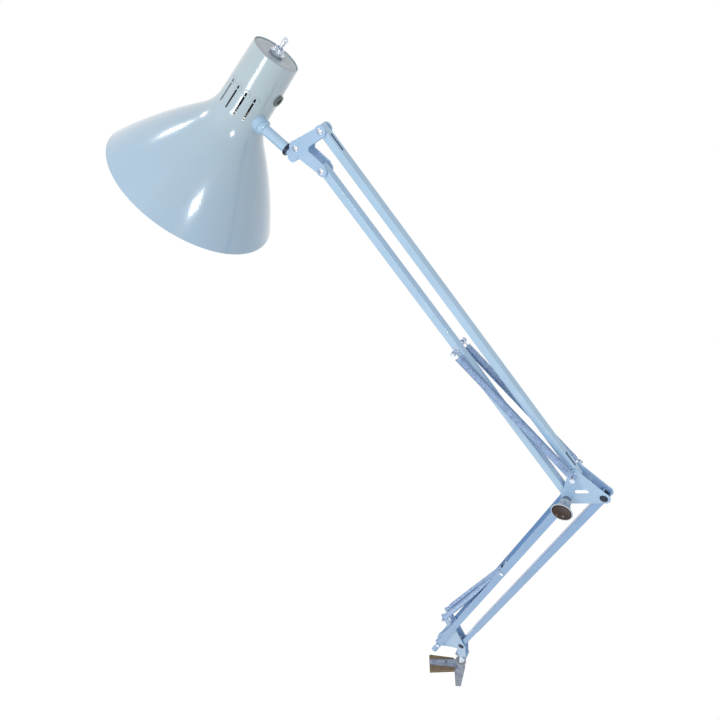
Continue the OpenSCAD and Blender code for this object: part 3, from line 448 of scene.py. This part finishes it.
# Clamp, base bracket, plates and tubes: softened copies of the model's own solids
# Each node's rounding in mm, and the wider corners of folded tube
softEdges = {"clamp_body": 1.4, "jaw_pad": 1.1, "pad_rivets": 0.25, "swivel_bush": 0.3, "screw_pad": 0.6,
             "tommy_bar": 0.3, "swivel_pin": 0.6, "bracket_near": 0.4, "bracket_far": 0.4,
             "bracket_foot": 0.5, "base_washers": 0.12, "rear_rivets": 0.5, "horn_pin": 0.6,
             "lower_front_tube": 0.18, "lower_end_fitting": 0.3, "lower_rear_channel": 0.22,
             "channel_spring_pin": 0.4, "elbow_plate_near": 0.4, "elbow_plate_far": 0.4,
             "elbow_washers": 0.12, "elbow_bushes": 0.25, "spring_pivot_pin": 0.6,
             "upper_front_tube": 0.18, "upper_rear_tube": 0.18, "tube_spring_pin": 0.6,
             "head_plate_near": 0.4, "head_plate_far": 0.4, "head_washers": 0.12, "head_block": 0.9,
             "shade_rod": 0.7, "ball_cup": 1.3, "holder_strap": 0.25, "lampholder": 1.2,
             "holder_contact": 0.6, "switch_body": 0.7, "switch_nut": 0.45, "cord_grommet": 0.7}
tubeCorners = {"lower_front_tube": 1.1, "lower_end_fitting": 1.0, "upper_front_tube": 1.1,
               "upper_rear_tube": 1.1}
for node, edge in softEdges.items():
    softPiece(node, edge, tubeCorners.get(node, 0))
softPiece("swivel_collar", 0.5, material="dark_steel")
softPiece("knob_bolt", 0.4, material="bright_steel")
print("softened pieces made")

# Rivets and bolts: domed heads on a shank, repeated by Geometry Nodes on the pivots
rivets = {"shank": 2.5, "head": 3.6, "dome": 1.7, "bolt": 4.6, "boltDome": 1.8, "foot": 1.5,
          "footHead": 3.0, "footDome": 0.9, "footHeight": 47, "footHalf": 6.6, "plateOut": 7.05}


def geometryTree(name, **inputs):  # an empty node tree that takes a geometry, these inputs and a finish
    tree = bpy.data.node_groups.new(name, "GeometryNodeTree")
    kinds = {"Geometry": "Geometry", **inputs, "Finish": "Material"}
    for socket, kind in kinds.items():
        tree.interface.new_socket(name=socket, in_out="INPUT", socket_type="NodeSocket" + kind)
    tree.interface.new_socket(name="Geometry", in_out="OUTPUT", socket_type="NodeSocketGeometry")
    return tree, addNode(tree, "NodeGroupInput")


def rivetTree():
    tree, given = geometryTree("rivetRow", Rivet="Object")
    rivet = addNode(tree, "GeometryNodeObjectInfo", {"Object": given.outputs["Rivet"], "As Instance": True})
    placed = addNode(tree, "GeometryNodeInstanceOnPoints",
                     {"Points": given.outputs["Geometry"], "Instance": rivet.outputs["Geometry"]})
    solid = addNode(tree, "GeometryNodeRealizeInstances", {"Geometry": placed.outputs[0]})
    shown = addNode(tree, "GeometryNodeSetMaterial",
                    {"Geometry": solid.outputs[0], "Material": given.outputs["Finish"]})
    addNode(tree, "NodeGroupOutput", {0: shown.outputs[0]})
    return tree


def setInputs(modifier, **values):
    known = {item.name: item.identifier for item in modifier.node_group.interface.items_tree
             if item.item_type == "SOCKET" and item.in_out == "INPUT"}
    for name, value in values.items():
        modifier[known[name]] = value


riveting = rivetTree()


def rivetRow(name, node, points, shank, head, dome, grip, material):
    outline = [(0, grip + dome)]
    for i in range(1, 7):
        a = math.pi / 2 * i / 6
        outline.append((head * math.sin(a) ** 0.9, grip + dome * (0.28 + 0.72 * math.cos(a))))
    outline += [(head, grip), (shank, grip)]
    outline += [(r, -z) for r, z in reversed(outline)]
    pattern = lathePiece(name + "Pattern", outline, 28, matrix=Matrix.Rotation(math.radians(90), 4, "X"),
                         sharpAbove=50)
    mesh = bpy.data.meshes.new(name)
    mesh.from_pydata([tuple(p) for p in points], [], [])
    obj = newObject(name, mesh)
    modifier = obj.modifiers.new("row", "NODES")
    modifier.node_group = riveting
    setInputs(modifier, Rivet=pattern, Finish=finish[material])
    bakeModifiers(obj)
    bpy.data.objects.remove(pattern)
    return placePiece(obj, node, material=material)


rivetRow("headRivets", "head_rivets", [frontHead, rearHead, nose], rivets["shank"], rivets["head"],
         rivets["dome"], rivets["plateOut"], "bright_steel")
footLine = frontFoot + Vector((arms["pivotBack"], 0, rivets["footHeight"] - arms["pivotHeight"])) * mm
rivetRow("footRivets", "foot_rivets",
         [footLine + Vector((s * rivets["footHalf"] * mm, 0, 0)) for s in (-1, 1)], rivets["foot"],
         rivets["footHead"], rivets["footDome"], rivets["plateOut"], "zinc_steel")
rivetRow("baseBolt", "base_bolt", [frontFoot], rivets["shank"], rivets["bolt"], rivets["boltDome"],
         rivets["plateOut"], "dark_steel")
rivetRow("elbowBolt", "elbow_bolt", [frontTop], rivets["shank"], rivets["bolt"], rivets["boltDome"],
         rivets["plateOut"], "dark_steel")
print("rivets made")

# Springs: close-wound bright wire with a hook at each end that closes round its pin
springs = {"wire": 1.1, "hookGap": 0.1, "pin": 2.0, "upperAcross": 9.0, "lowerAcross": 7.6,
           "upperSide": 12.15, "hornSide": 11.15, "innerSide": 4.1, "hookRise": 7.0, "windGap": 1.01}


def coilTree():
    floats = {name: "Float" for name in ("Length", "Coil Radius", "Wire Radius", "Turns")}
    tree, given = geometryTree("closeWoundCoil", **floats)
    spiral = addNode(tree, "GeometryNodeCurveSpiral",
                     {"Resolution": 18, "Rotations": given.outputs["Turns"],
                      "Start Radius": given.outputs["Coil Radius"],
                      "End Radius": given.outputs["Coil Radius"], "Height": given.outputs["Length"]})
    wire = addNode(tree, "GeometryNodeCurvePrimitiveCircle",
                   {"Resolution": 7, "Radius": given.outputs["Wire Radius"]})
    swept = addNode(tree, "GeometryNodeCurveToMesh",
                    {"Curve": spiral.outputs[0], "Profile Curve": wire.outputs[0], "Fill Caps": True})
    whole = addNode(tree, "GeometryNodeJoinGeometry", {0: swept.outputs[0]})
    tree.links.new(given.outputs["Geometry"], whole.inputs[0])
    smooth = addNode(tree, "GeometryNodeSetShadeSmooth", {"Geometry": whole.outputs[0]})
    solid = addNode(tree, "GeometryNodeRealizeInstances", {"Geometry": smooth.outputs[0]})
    shown = addNode(tree, "GeometryNodeSetMaterial",
                    {"Geometry": solid.outputs[0], "Material": given.outputs["Finish"]})
    addNode(tree, "NodeGroupOutput", {0: shown.outputs[0]})
    return tree


coiling = coilTree()


# From the coil's last turn into a loop round the pin, which lies along local Y at the origin
def hook(form, coilRadius, loopRadius, rise):
    end = Vector((coilRadius, 0, rise))
    before = Vector((coilRadius * math.cos(0.7), -coilRadius * math.sin(0.7), rise))
    line = [before, end, Vector((coilRadius * 0.75, coilRadius * 0.35, rise * 0.78)),
            Vector((loopRadius * 1.02, 0, rise * 0.42))]
    for i in range(15):
        a = math.radians(10 - i * 21)
        line.append(Vector((loopRadius * math.cos(a), 0.0, loopRadius * math.sin(a))))
    sweptTube(form, smoothLine(line, 4), springs["wire"] / 2 * mm, 8)


def springPiece(name, node, start, end, across):
    axis = end - start
    reach = axis.length
    up = axis.normalized()
    pinWay = (Vector((0, 1, 0)) - up * up.y).normalized()
    frameOf = Matrix((pinWay.cross(up), pinWay, up)).transposed().to_4x4()
    frameOf.translation = start
    coilRadius = (across - springs["wire"]) / 2 * mm
    loopRadius = (springs["pin"] + springs["wire"] / 2 + springs["hookGap"]) * mm
    rise = springs["hookRise"] * mm
    length = reach - 2 * rise
    turns = length / (springs["wire"] * springs["windGap"] * mm)
    form = bmesh.new()
    hook(form, coilRadius, loopRadius, rise)
    bmesh.ops.rotate(form, verts=form.verts, cent=(0, 0, reach / 2), matrix=Matrix.Rotation(math.pi, 3, "X"))
    hook(form, coilRadius, loopRadius, rise)
    bmesh.ops.translate(form, verts=form.verts, vec=(0, 0, -rise))
    bmesh.ops.recalc_face_normals(form, faces=form.faces)
    mesh = bpy.data.meshes.new(name)
    form.to_mesh(mesh)
    form.free()
    obj = newObject(name, mesh)
    modifier = obj.modifiers.new("coil", "NODES")
    modifier.node_group = coiling
    setInputs(modifier,
              **{"Length": length, "Coil Radius": coilRadius, "Wire Radius": springs["wire"] / 2 * mm,
                 "Turns": turns, "Finish": finish["spring_steel"]})
    bakeModifiers(obj)
    obj.data.transform(frameOf @ Matrix.Translation((0, 0, rise)))
    smoothShaded(obj.data, 0)
    obj.data.materials.clear()
    obj.data.materials.append(finish["spring_steel"])
    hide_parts(node)
    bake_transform(obj)
    return obj


for side, name, node in ((-1, "Near", "near"), (1, "Far", "far")):
    sideways = Vector((0, side * mm, 0))
    springPiece("upperSpring" + name, "upper_spring_" + node, frontElbow + sideways * springs["upperSide"],
                upperSpringPin + sideways * springs["upperSide"], springs["upperAcross"])
    springPiece("lowerSpring" + name, "lower_spring_" + node, horn + sideways * springs["hornSide"],
                lowerSpringPin + sideways * springs["innerSide"], springs["lowerAcross"])
print("springs made")

# Shade: a spun shell with a rolled top edge and rim, its slots, and the pressed rings at their heads.
# Its inside is painted dark grey as shade from the cap down to a set depth below the neck's end
shade = {"length": 187, "neck": 80.5, "capRadius": 26.3, "neckRadius": 29.6, "rimRadius": 104.5,
         "bellShare": 0.24, "wall": 1.0, "turn": 16, "slotWidth": 2.2, "slotTop": 40.6, "slotLength": 28,
         "slotStep": 22.1, "slotCentre": -71.3, "slots": 4, "cordHole": 5.02, "cordTurn": 17.5,
         "cordDown": 34, "cupHole": 9.42, "slotCut": (20, 36), "holeCut": (16, 40), "ringRadius": 3.6,
         "ringWire": 0.75, "ringSunk": 0.2, "ringLean": 0.035, "paintedShadeReach": 22}


def outerRadius(down):  # of the shade at this distance below the cap
    def raw(d):
        if d <= shade["neck"]:
            return shade["capRadius"] + (shade["neckRadius"] - shade["capRadius"]) * d / shade["neck"]
        u = (d - shade["neck"]) / (shade["length"] - shade["neck"])
        share = u + shade["bellShare"] * u * (1 - u)
        return shade["neckRadius"] + (shade["rimRadius"] - shade["neckRadius"]) * share
    if abs(down - shade["neck"]) >= shade["turn"]:
        return raw(down)
    t = (down - shade["neck"] + shade["turn"]) / (2 * shade["turn"])  # rounded turn between neck and bell
    low = raw(shade["neck"] - shade["turn"])
    high = raw(shade["neck"] + shade["turn"])
    mid = shade["neckRadius"]
    return low * (1 - t) ** 2 + 2 * mid * t * (1 - t) + high * t * t


# Rings of the profile, close together in the turn
downs = ([0.6 + i * 2.2 for i in range(30)] + [shade["neck"] - shade["turn"] + i * 1.6 for i in range(1, 21)]
         + [shade["neck"] + shade["turn"] + i * 3.0 for i in range(1, 31)])
downs = sorted(set(round(d, 3) for d in downs if d < shade["length"] - 0.8))
outer = [(shade["capRadius"] - 0.55, 1.25), (shade["capRadius"] - 0.1, 0.95), (shade["capRadius"], 0.3)]
outer += [(outerRadius(d), -d) for d in downs]
rim = shade["rimRadius"]
outer += [(rim - 0.2, -shade["length"] + 0.6), (rim - 0.35, -shade["length"] - 0.1),
          (rim - 0.9, -shade["length"] - 0.5), (rim - 1.6, -shade["length"] - 0.2),
          (rim - 1.75, -shade["length"] + 0.6)]
inner = [(outerRadius(d) - shade["wall"] * (1.0 if d < shade["neck"] else 1.2), -d)
         for d in reversed(downs[:-1])]
inner += [(shade["capRadius"] - 1.2, 0.3), (shade["capRadius"] - 1.15, 0.95)]
shell = lathePiece("shadeShell", outer + inner, 160, closed=True, sharpAbove=0)
shell.data.materials.append(finish["shade_enamel"])
shell.data.materials.append(finish["inner_enamel"])
shell.data.materials.append(finish["inner_neck"])
for face in shell.data.polygons:  # inside faces look towards the axis
    centre, normal = face.center, face.normal
    if centre.x * normal.x + centre.y * normal.y < 0 and centre.z < -2 * mm:
        # the bell's inside is white; the neck's inside gets the dark grey painted shade
        face.material_index = 1 if centre.z < -(shade["neck"] + shade["paintedShadeReach"]) * mm else 2

cutters = bpy.data.meshes.new("shadeCutters")
form = bmesh.new()


# A prism along the radius, its outline in (round, down) mm
def addCutter(form, outline, turn, down, near, far):
    placed = Matrix.Rotation(math.radians(turn), 4, "Z")
    rings = [[form.verts.new(placed @ Vector((r * mm, y * mm, (-down - z) * mm))) for y, z in outline]
             for r in (near, far)]
    n = len(outline)
    for i in range(n):
        form.faces.new((rings[0][i], rings[0][(i + 1) % n], rings[1][(i + 1) % n], rings[1][i]))
    form.faces.new(rings[0])
    form.faces.new(rings[1])


def slotOutline(width, length, steps=8):
    r = width / 2
    top = [(r * math.cos(math.pi + math.pi * i / steps), r * math.sin(math.pi + math.pi * i / steps))
           for i in range(steps + 1)]
    bottom = [(r * math.cos(math.pi * i / steps), length - width + r * math.sin(math.pi * i / steps))
              for i in range(steps + 1)]
    return top + bottom


slotTurns = [shade["slotCentre"] + group + (i - (shade["slots"] - 1) / 2) * shade["slotStep"]
             for group in (0, 180) for i in range(shade["slots"])]
for turn in slotTurns:
    addCutter(form, slotOutline(shade["slotWidth"], shade["slotLength"]), turn,
              shade["slotTop"] + shade["slotWidth"] / 2, *shade["slotCut"])
for radius, turn, down in ((shade["cordHole"], shade["cordTurn"], shade["cordDown"]),
                           (shade["cupHole"], 0, shadePlace["ballDown"])):
    circle = [(radius * math.cos(2 * math.pi * i / 48), radius * math.sin(2 * math.pi * i / 48))
              for i in range(48)]
    addCutter(form, circle, turn, down, *shade["holeCut"])
bmesh.ops.recalc_face_normals(form, faces=form.faces)
form.to_mesh(cutters)
form.free()
cutterObject = newObject("shadeCutters", cutters)
cut = shell.modifiers.new("slots", "BOOLEAN")
cut.operation = "DIFFERENCE"
cut.solver = "EXACT"
cut.object = cutterObject
bakeModifiers(shell)
bpy.data.objects.remove(cutterObject)
shell.data.transform(shadeFrame)
smoothShaded(shell.data, 40)
placePiece(shell, "shade_shell")


def ringTree():
    tree, given = geometryTree("pressedRings", **{"Ring Radius": "Float", "Wire Radius": "Float"})
    ring = addNode(tree, "GeometryNodeCurvePrimitiveCircle",
                   {"Resolution": 32, "Radius": given.outputs["Ring Radius"]})
    wire = addNode(tree, "GeometryNodeCurvePrimitiveCircle",
                   {"Resolution": 8, "Radius": given.outputs["Wire Radius"]})
    swept = addNode(tree, "GeometryNodeCurveToMesh",
                    {"Curve": ring.outputs[0], "Profile Curve": wire.outputs[0]})
    facing = addNode(tree, "GeometryNodeInputNamedAttribute", {0: "facing"}, data_type="FLOAT_VECTOR")
    turned = addNode(tree, "FunctionNodeAlignRotationToVector", {"Vector": facing.outputs[0]}, axis="Z")
    placed = addNode(tree, "GeometryNodeInstanceOnPoints",
                     {"Points": given.outputs["Geometry"], "Instance": swept.outputs[0],
                      "Rotation": turned.outputs[0]})
    solid = addNode(tree, "GeometryNodeRealizeInstances", {"Geometry": placed.outputs[0]})
    smooth = addNode(tree, "GeometryNodeSetShadeSmooth", {"Geometry": solid.outputs[0]})
    shown = addNode(tree, "GeometryNodeSetMaterial",
                    {"Geometry": smooth.outputs[0], "Material": given.outputs["Finish"]})
    addNode(tree, "NodeGroupOutput", {0: shown.outputs[0]})
    return tree


ringMesh = bpy.data.meshes.new("ventRings")  # one point at each slot's head, with the way it faces
ringPlaces, ringFacings = [], []
for turn in slotTurns:
    down = shade["slotTop"] + shade["slotWidth"] / 2
    placed = shadeFrame @ Matrix.Rotation(math.radians(turn), 4, "Z")
    ringPlaces.append(tuple(placed @ Vector(((outerRadius(down) - shade["ringSunk"]) * mm, 0, -down * mm))))
    ringFacings += list(placed.to_3x3() @ Vector((1, 0, shade["ringLean"])))
ringMesh.from_pydata(ringPlaces, [], [])
ringMesh.attributes.new("facing", "FLOAT_VECTOR", "POINT").data.foreach_set("vector", ringFacings)
rings = newObject("ventRings", ringMesh)
ringing = rings.modifiers.new("rings", "NODES")
ringing.node_group = ringTree()
setInputs(ringing, **{"Ring Radius": shade["ringRadius"] * mm, "Wire Radius": shade["ringWire"] * mm,
                      "Finish": finish["shade_enamel"]})
bakeModifiers(rings)
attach(rings, "shade")
print("shade made")

# End cap: a shallow pressed disc inside the rolled top edge
cap = {"hole": 5.6, "radius": 25.0, "top": 0.55, "dish": 0.35, "dishFrom": 14, "dishTo": 18, "skirt": 6,
       "sheet": 0.9}
dished = cap["top"] - cap["dish"]
capLine = [(cap["hole"], dished), (cap["dishFrom"], dished), (cap["dishTo"], cap["top"]),
           (cap["radius"] - 0.9, cap["top"]), (cap["radius"] - 0.25, cap["top"] - 0.25),
           (cap["radius"], cap["top"] - 0.9), (cap["radius"], -cap["skirt"]),
           (cap["radius"] - 1, -cap["skirt"]), (cap["radius"] - 1, -cap["sheet"]),
           (cap["hole"], -cap["sheet"])]
capPiece = lathePiece("endCap", capLine, 96, closed=True, matrix=shadeFrame)
placePiece(capPiece, "end_cap", material="cap_enamel")

# Threads: the switch bushing, the bulb's cap and the clamp screw
threads = {"switchPitch": 1.0, "switchDepth": 0.3, "bulbPitch": 3.6, "bulbDepth": 0.55, "screwPitch": 1.5,
           "screwDepth": 0.55}


def threaded(pitch, depth, low, high, radius):
    def shape(r, z, angle):
        if abs(r - radius) > 0.01 or not low < z < high:
            return r
        wave = 0.5 - 0.5 * math.cos(2 * math.pi * z / pitch - angle)
        return r - depth * wave
    return shape


def rows(low, high, step):
    n = max(1, round((high - low) / step))
    return [low + (high - low) * i / n for i in range(n + 1)]


bushing = {"radius": 5.5, "height": 8.4, "bore": 3.3, "mouth": 4.6, "coneFrom": 5.3, "thread": (3.4, 7.9)}
bushingLine = [(bushing["radius"], z) for z in rows(0, bushing["height"] - 0.2, 0.25)]
bushingLine += [(bushing["radius"] - 0.4, bushing["height"]), (bushing["mouth"], bushing["height"]),
                (bushing["bore"], bushing["coneFrom"]), (bushing["bore"], 0)]
bushingThread = threaded(threads["switchPitch"], threads["switchDepth"], *bushing["thread"],
                         bushing["radius"])
bushingPiece = lathePiece("switchBushing", bushingLine, 40, closed=True, shape=bushingThread,
                          matrix=shadeFrame)
placePiece(bushingPiece, "switch_bushing")

lever = {"turn": 124, "pivot": 2.5, "lean": 12, "ball": 2.9, "neck": 1.6, "end": 3.1, "length": 17.5,
         "tip": 3.0}
leverLine = [(lever["ball"] * math.sin(a), -lever["ball"] * math.cos(a))
             for a in [math.pi * i / 16 for i in range(13)]]
leverLine += [(lever["neck"], 3.2), (lever["neck"], 5.0), (1.9, 8.0), (2.5, 11.0),
              (lever["end"], lever["length"] - 4.0)]
leverLine += [(lever["end"] * math.cos(a), lever["length"] - lever["tip"] + lever["tip"] * math.sin(a))
              for a in [math.pi / 2 * i / 6 for i in range(7)]]
leverLine[0] = (0, -lever["ball"])
leverLine[-1] = (0, lever["length"])
leverFrame = (shadeFrame @ Matrix.Rotation(math.radians(lever["turn"]), 4, "Z")
              @ Matrix.Translation((0, 0, lever["pivot"] * mm))
              @ Matrix.Rotation(math.radians(lever["lean"]), 4, "Y"))
placePiece(lathePiece("switchLever", leverLine, 32, matrix=leverFrame), "switch_lever")

bulb = {"capTop": 31.3, "capRadius": 13, "capLength": 27, "capThread": (-22, -5), "radius": 30,
        "neckRadius": 12.2, "neck": 38, "sink": 0.55, "openAngle": 146, "glass": 0.8}
capRows = [(0, 0), (2.4, -0.1), (3.0, -0.5), (9.6, -2.2), (10.6, -3.4)]
capRows += [(bulb["capRadius"], z) for z in reversed(rows(-bulb["capLength"] + 1, -4.2, 0.45))]
capRows += [(12.4, -bulb["capLength"]), (0, -bulb["capLength"])]
bulbFrame = shadeFrame @ Matrix.Translation((0, 0, -bulb["capTop"] * mm))
capThread = threaded(threads["bulbPitch"], threads["bulbDepth"], *bulb["capThread"], bulb["capRadius"])
bulbCap = lathePiece("bulbCap", capRows, 48, shape=capThread, matrix=bulbFrame)
placePiece(bulbCap, "bulb_cap")
globeDrop = bulb["neck"] + bulb["radius"] * bulb["sink"]


def glassProfile(inset):
    line = [(bulb["neckRadius"] - inset, 0), (bulb["neckRadius"] + 0.4 - inset, -6),
            (bulb["neckRadius"] + 2 - inset, -13.3)]
    for i in range(25):
        a = math.radians(bulb["openAngle"]) * (1 - i / 24)
        across, down = (bulb["radius"] - inset) * math.sin(a), (bulb["radius"] - inset) * math.cos(a)
        line.append((max(across, 0), -globeDrop - down))
    return line


glassFrame = bulbFrame @ Matrix.Translation((0, 0, -bulb["capLength"] * mm))
glassLine = glassProfile(0) + list(reversed(glassProfile(bulb["glass"])))
glassPiece = lathePiece("bulbGlass", glassLine, 64, matrix=glassFrame, sharpAbove=0)
placePiece(glassPiece, "bulb_glass")

# Lead wires, then the coiled filament that bows between their ends
wires = {"half": 11, "down": 48, "bow": 4, "sag": 3, "coil": 0.5, "turns": 60, "points": 360, "lead": 0.35,
         "filament": 0.14}
form = bmesh.new()
for s in (-1, 1):
    lead = [Vector((s * 2.2, 0, 3)), Vector((s * 2.6, 0, -18)), Vector((s * 9, 0, -44)),
            Vector((s * wires["half"], 0, -wires["down"]))]
    sweptTube(form, smoothLine(lead), wires["lead"], 8)
line = []
for i in range(wires["points"] + 1):
    a = math.radians(-90 + i / wires["points"] * 180)
    turn = i / wires["points"] * wires["turns"] * 2 * math.pi
    line.append(Vector((wires["half"] * math.sin(a) + wires["coil"] * math.cos(turn),
                        wires["bow"] * math.cos(a) - wires["bow"],
                        -wires["down"] - wires["sag"] * math.cos(a) + wires["coil"] * math.sin(turn))))
sweptTube(form, line, wires["filament"], 5)
filamentMesh = bpy.data.meshes.new("bulbFilament")
form.to_mesh(filamentMesh)
form.free()
filamentMesh.transform(glassFrame @ Matrix.Scale(mm, 4))
smoothShaded(filamentMesh, 0)
filamentMesh.materials.append(finish["filament"])
filament = newObject("bulbFilament", filamentMesh)
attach(filament, "shade")
stem = lathePiece("bulbStem", [(0, -20), (2.0, -20), (3.4, -18.5), (3.6, -14), (4.6, -6), (9.5, 1.5),
                               (0, 1.5)], 32, matrix=glassFrame)
stem.data.materials.append(finish["bulb_glass"])
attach(stem, "shade")

screw = {"place": (5, 0, -25), "radius": 4, "length": 60, "tip": 2.6, "tipTop": -2.1, "shoulder": -4.05,
         "shoulderRadius": 3.3, "headRadius": 6.5, "headHeight": 10, "pad": 4}
low = -screw["pad"] - screw["length"]
foot = low - screw["headHeight"]
screwRows = [(0, screw["tipTop"]), (screw["tip"], screw["tipTop"]), (screw["tip"], screw["shoulder"]),
             (screw["shoulderRadius"], screw["shoulder"])]
screwRows += [(screw["radius"], z) for z in reversed(rows(low, -4.4, 0.3))]
screwRows += [(screw["headRadius"] - 0.8, low), (screw["headRadius"], low - 0.8),
              (screw["headRadius"], foot + 0.8), (screw["headRadius"] - 0.8, foot), (0, foot)]
screwFrame = clampFrame @ Matrix.Translation(Vector(screw["place"]) * mm)
screwThread = threaded(threads["screwPitch"], threads["screwDepth"], low + 3, -4.5, screw["radius"])
screwPiece = lathePiece("clampScrew", screwRows, 32, shape=screwThread, matrix=screwFrame)
placePiece(screwPiece, "clamp_screw")
print("threaded pieces made")

# Elbow knob: a fluted stem that flares to a skirt, with a brown inlay in its hollow face
knob = {"seat": 12.8, "stem": 6.5, "skirt": 12.5, "length": 17, "lip": 1.2, "hollow": 5, "flare": 2.1,
        "flutes": 8, "fluteDepth": 1.7, "fluteFrom": 1.5, "fluteEnd": 3.2}


def fluted(r, z, angle):
    if not knob["fluteFrom"] < z < knob["length"] - knob["fluteEnd"] or r < knob["stem"] - 0.5:
        return r
    # Each flute widens towards the skirt and fades at its end
    share = (z - knob["fluteFrom"]) / (knob["length"] - knob["fluteFrom"] - knob["fluteEnd"])
    across = abs((angle * knob["flutes"] / (2 * math.pi) + 0.5) % 1 - 0.5) * 2
    width = 0.35 + 0.35 * share
    depth = knob["fluteDepth"] * min(1, share * 5) * min(1, (1 - share) * 4)
    return r - depth * max(0, 1 - (across / width) ** 3)


flare = [(2.55, 0), (knob["stem"] - 0.4, 0), (knob["stem"], 0.5)]
for i in range(1, 19):
    t = i / 18
    z = 0.5 + (knob["length"] - knob["lip"] - 0.5) * t
    flare.append((knob["stem"] + (knob["skirt"] - knob["stem"]) * t ** knob["flare"], z))
flare += [(knob["skirt"], knob["length"] - 0.4), (knob["skirt"] - 0.4, knob["length"]),
          (knob["skirt"] - knob["lip"], knob["length"])]
face = [(knob["skirt"] - knob["lip"] - 0.2, knob["length"] - 0.5),
        (knob["skirt"] - 2.2, knob["length"] - 1.7), (8.2, knob["length"] - 3.2),
        (5.5, knob["length"] - 4.2), (2.5, knob["length"] - 4.8), (0, knob["length"] - knob["hollow"])]
knobFrame = (Matrix.Translation(rearElbow + Vector((0, -knob["seat"] * mm, 0)))
             @ Matrix.Rotation(math.radians(90), 4, "X"))
knobPiece = lathePiece("elbowKnob", flare + face, 96, shape=fluted, matrix=knobFrame)
knobPiece.data.materials.append(finish["knob_plastic"])
knobPiece.data.materials.append(finish["knob_face"])
outwards = knobFrame.to_3x3() @ Vector((0, 0, 1))
seatPlane = knobFrame.translation.dot(outwards)
for polygon in knobPiece.data.polygons:
    height = (polygon.center.dot(outwards) - seatPlane) / mm
    radius = (polygon.center - knobFrame.translation - outwards * height * mm).length / mm
    if polygon.normal.dot(outwards) > 0.2 and radius < knob["skirt"] - knob["lip"] and height > 10:
        polygon.material_index = 1
placePiece(knobPiece, "elbow_knob")
print("knob made")

# Bench top under the clamp's jaw, and soft studio light
bench = {"edge": 21.4, "gap": 0.05, "thick": 24.9, "reach": 900, "side": 800}
benchMesh = bpy.data.meshes.new("bench")
form = bmesh.new()
bmesh.ops.create_cube(form, size=1.0)
form.to_mesh(benchMesh)
form.free()
benchCentre = Vector((bench["edge"] - bench["reach"] / 2, 0, -bench["gap"] - bench["thick"] / 2)) * mm
benchSize = Vector((bench["reach"], 2 * bench["side"], bench["thick"])) * mm
benchMesh.transform(clampFrame @ Matrix.Translation(benchCentre) @ Matrix.Diagonal(benchSize).to_4x4())
benchObject = newObject("bench", benchMesh)
bpy.context.view_layer.update()


def seenShare(tree):  # 1 for what the lens sees, straight, mirrored or through glass
    rays = addNode(tree, "ShaderNodeLightPath").outputs
    seen = addNode(tree, "ShaderNodeMath", {0: rays["Is Camera Ray"], 1: rays["Is Glossy Ray"]},
                   operation="MAXIMUM")
    through = {0: seen.outputs[0], 1: rays["Is Transmission Ray"]}
    return addNode(tree, "ShaderNodeMath", through, operation="MAXIMUM").outputs[0]


def paleStage(name, colour, glow):
    material, tree, shader, _ = newMaterial(name)
    shader.inputs["Base Color"].default_value = linear(colour)
    shader.inputs["Roughness"].default_value = 0.8
    strength = addNode(tree, "ShaderNodeMath", {0: seenShare(tree), 1: glow}, operation="MULTIPLY")
    tree.links.new(strength.outputs[0], shader.inputs["Emission Strength"])
    shader.inputs["Emission Color"].default_value = (1, 1, 1, 1)
    return material


benchMesh.materials.append(paleStage("paleBench", "#f2f2f2", 0.6))

world = bpy.data.worlds.new("studio")
bpy.context.scene.world = world
world.use_nodes = True
tree = world.node_tree
tree.nodes.clear()
soft = addNode(tree, "ShaderNodeBackground", {"Color": (1, 1, 1, 1), "Strength": 0.55})
white = addNode(tree, "ShaderNodeBackground", {"Color": (1, 1, 1, 1), "Strength": 1.0})
both = addNode(tree, "ShaderNodeMixShader", {0: seenShare(tree), 1: soft.outputs[0], 2: white.outputs[0]})
addNode(tree, "ShaderNodeOutputWorld", {"Surface": both.outputs[0]})


def areaLight(name, place, target, size, power, mirrored=True):
    data = bpy.data.lights.new(name, "AREA")
    data.shape = "RECTANGLE"
    data.size, data.size_y = size
    data.energy = power
    obj = bpy.data.objects.new(name, data)
    bpy.context.scene.collection.objects.link(obj)
    obj.location = place
    obj.rotation_mode = "QUATERNION"
    obj.rotation_quaternion = (Vector(target) - Vector(place)).to_track_quat("-Z", "Y")
    obj.visible_glossy = mirrored


lit = shadeFrame.translation
areaLight("strip", lit + Vector((-0.15, -1.5, 0.0)), lit, (0.3, 0.5), 5)
areaLight("ceiling", lit + Vector((-1.0, -0.12, 1.25)), lit + Vector((-0.1, -0.05, -0.1)), (0.12, 0.26), 3.2)
areaLight("window", lit + Vector((1.25, -0.95, 0.35)), lit, (0.24, 0.24), 3.4)
areaLight("key", (-0.6, -1.5, 2.2), (-0.1, 0, 0.55), (1.1, 0.7), 7, mirrored=False)
print("stage and lights made")
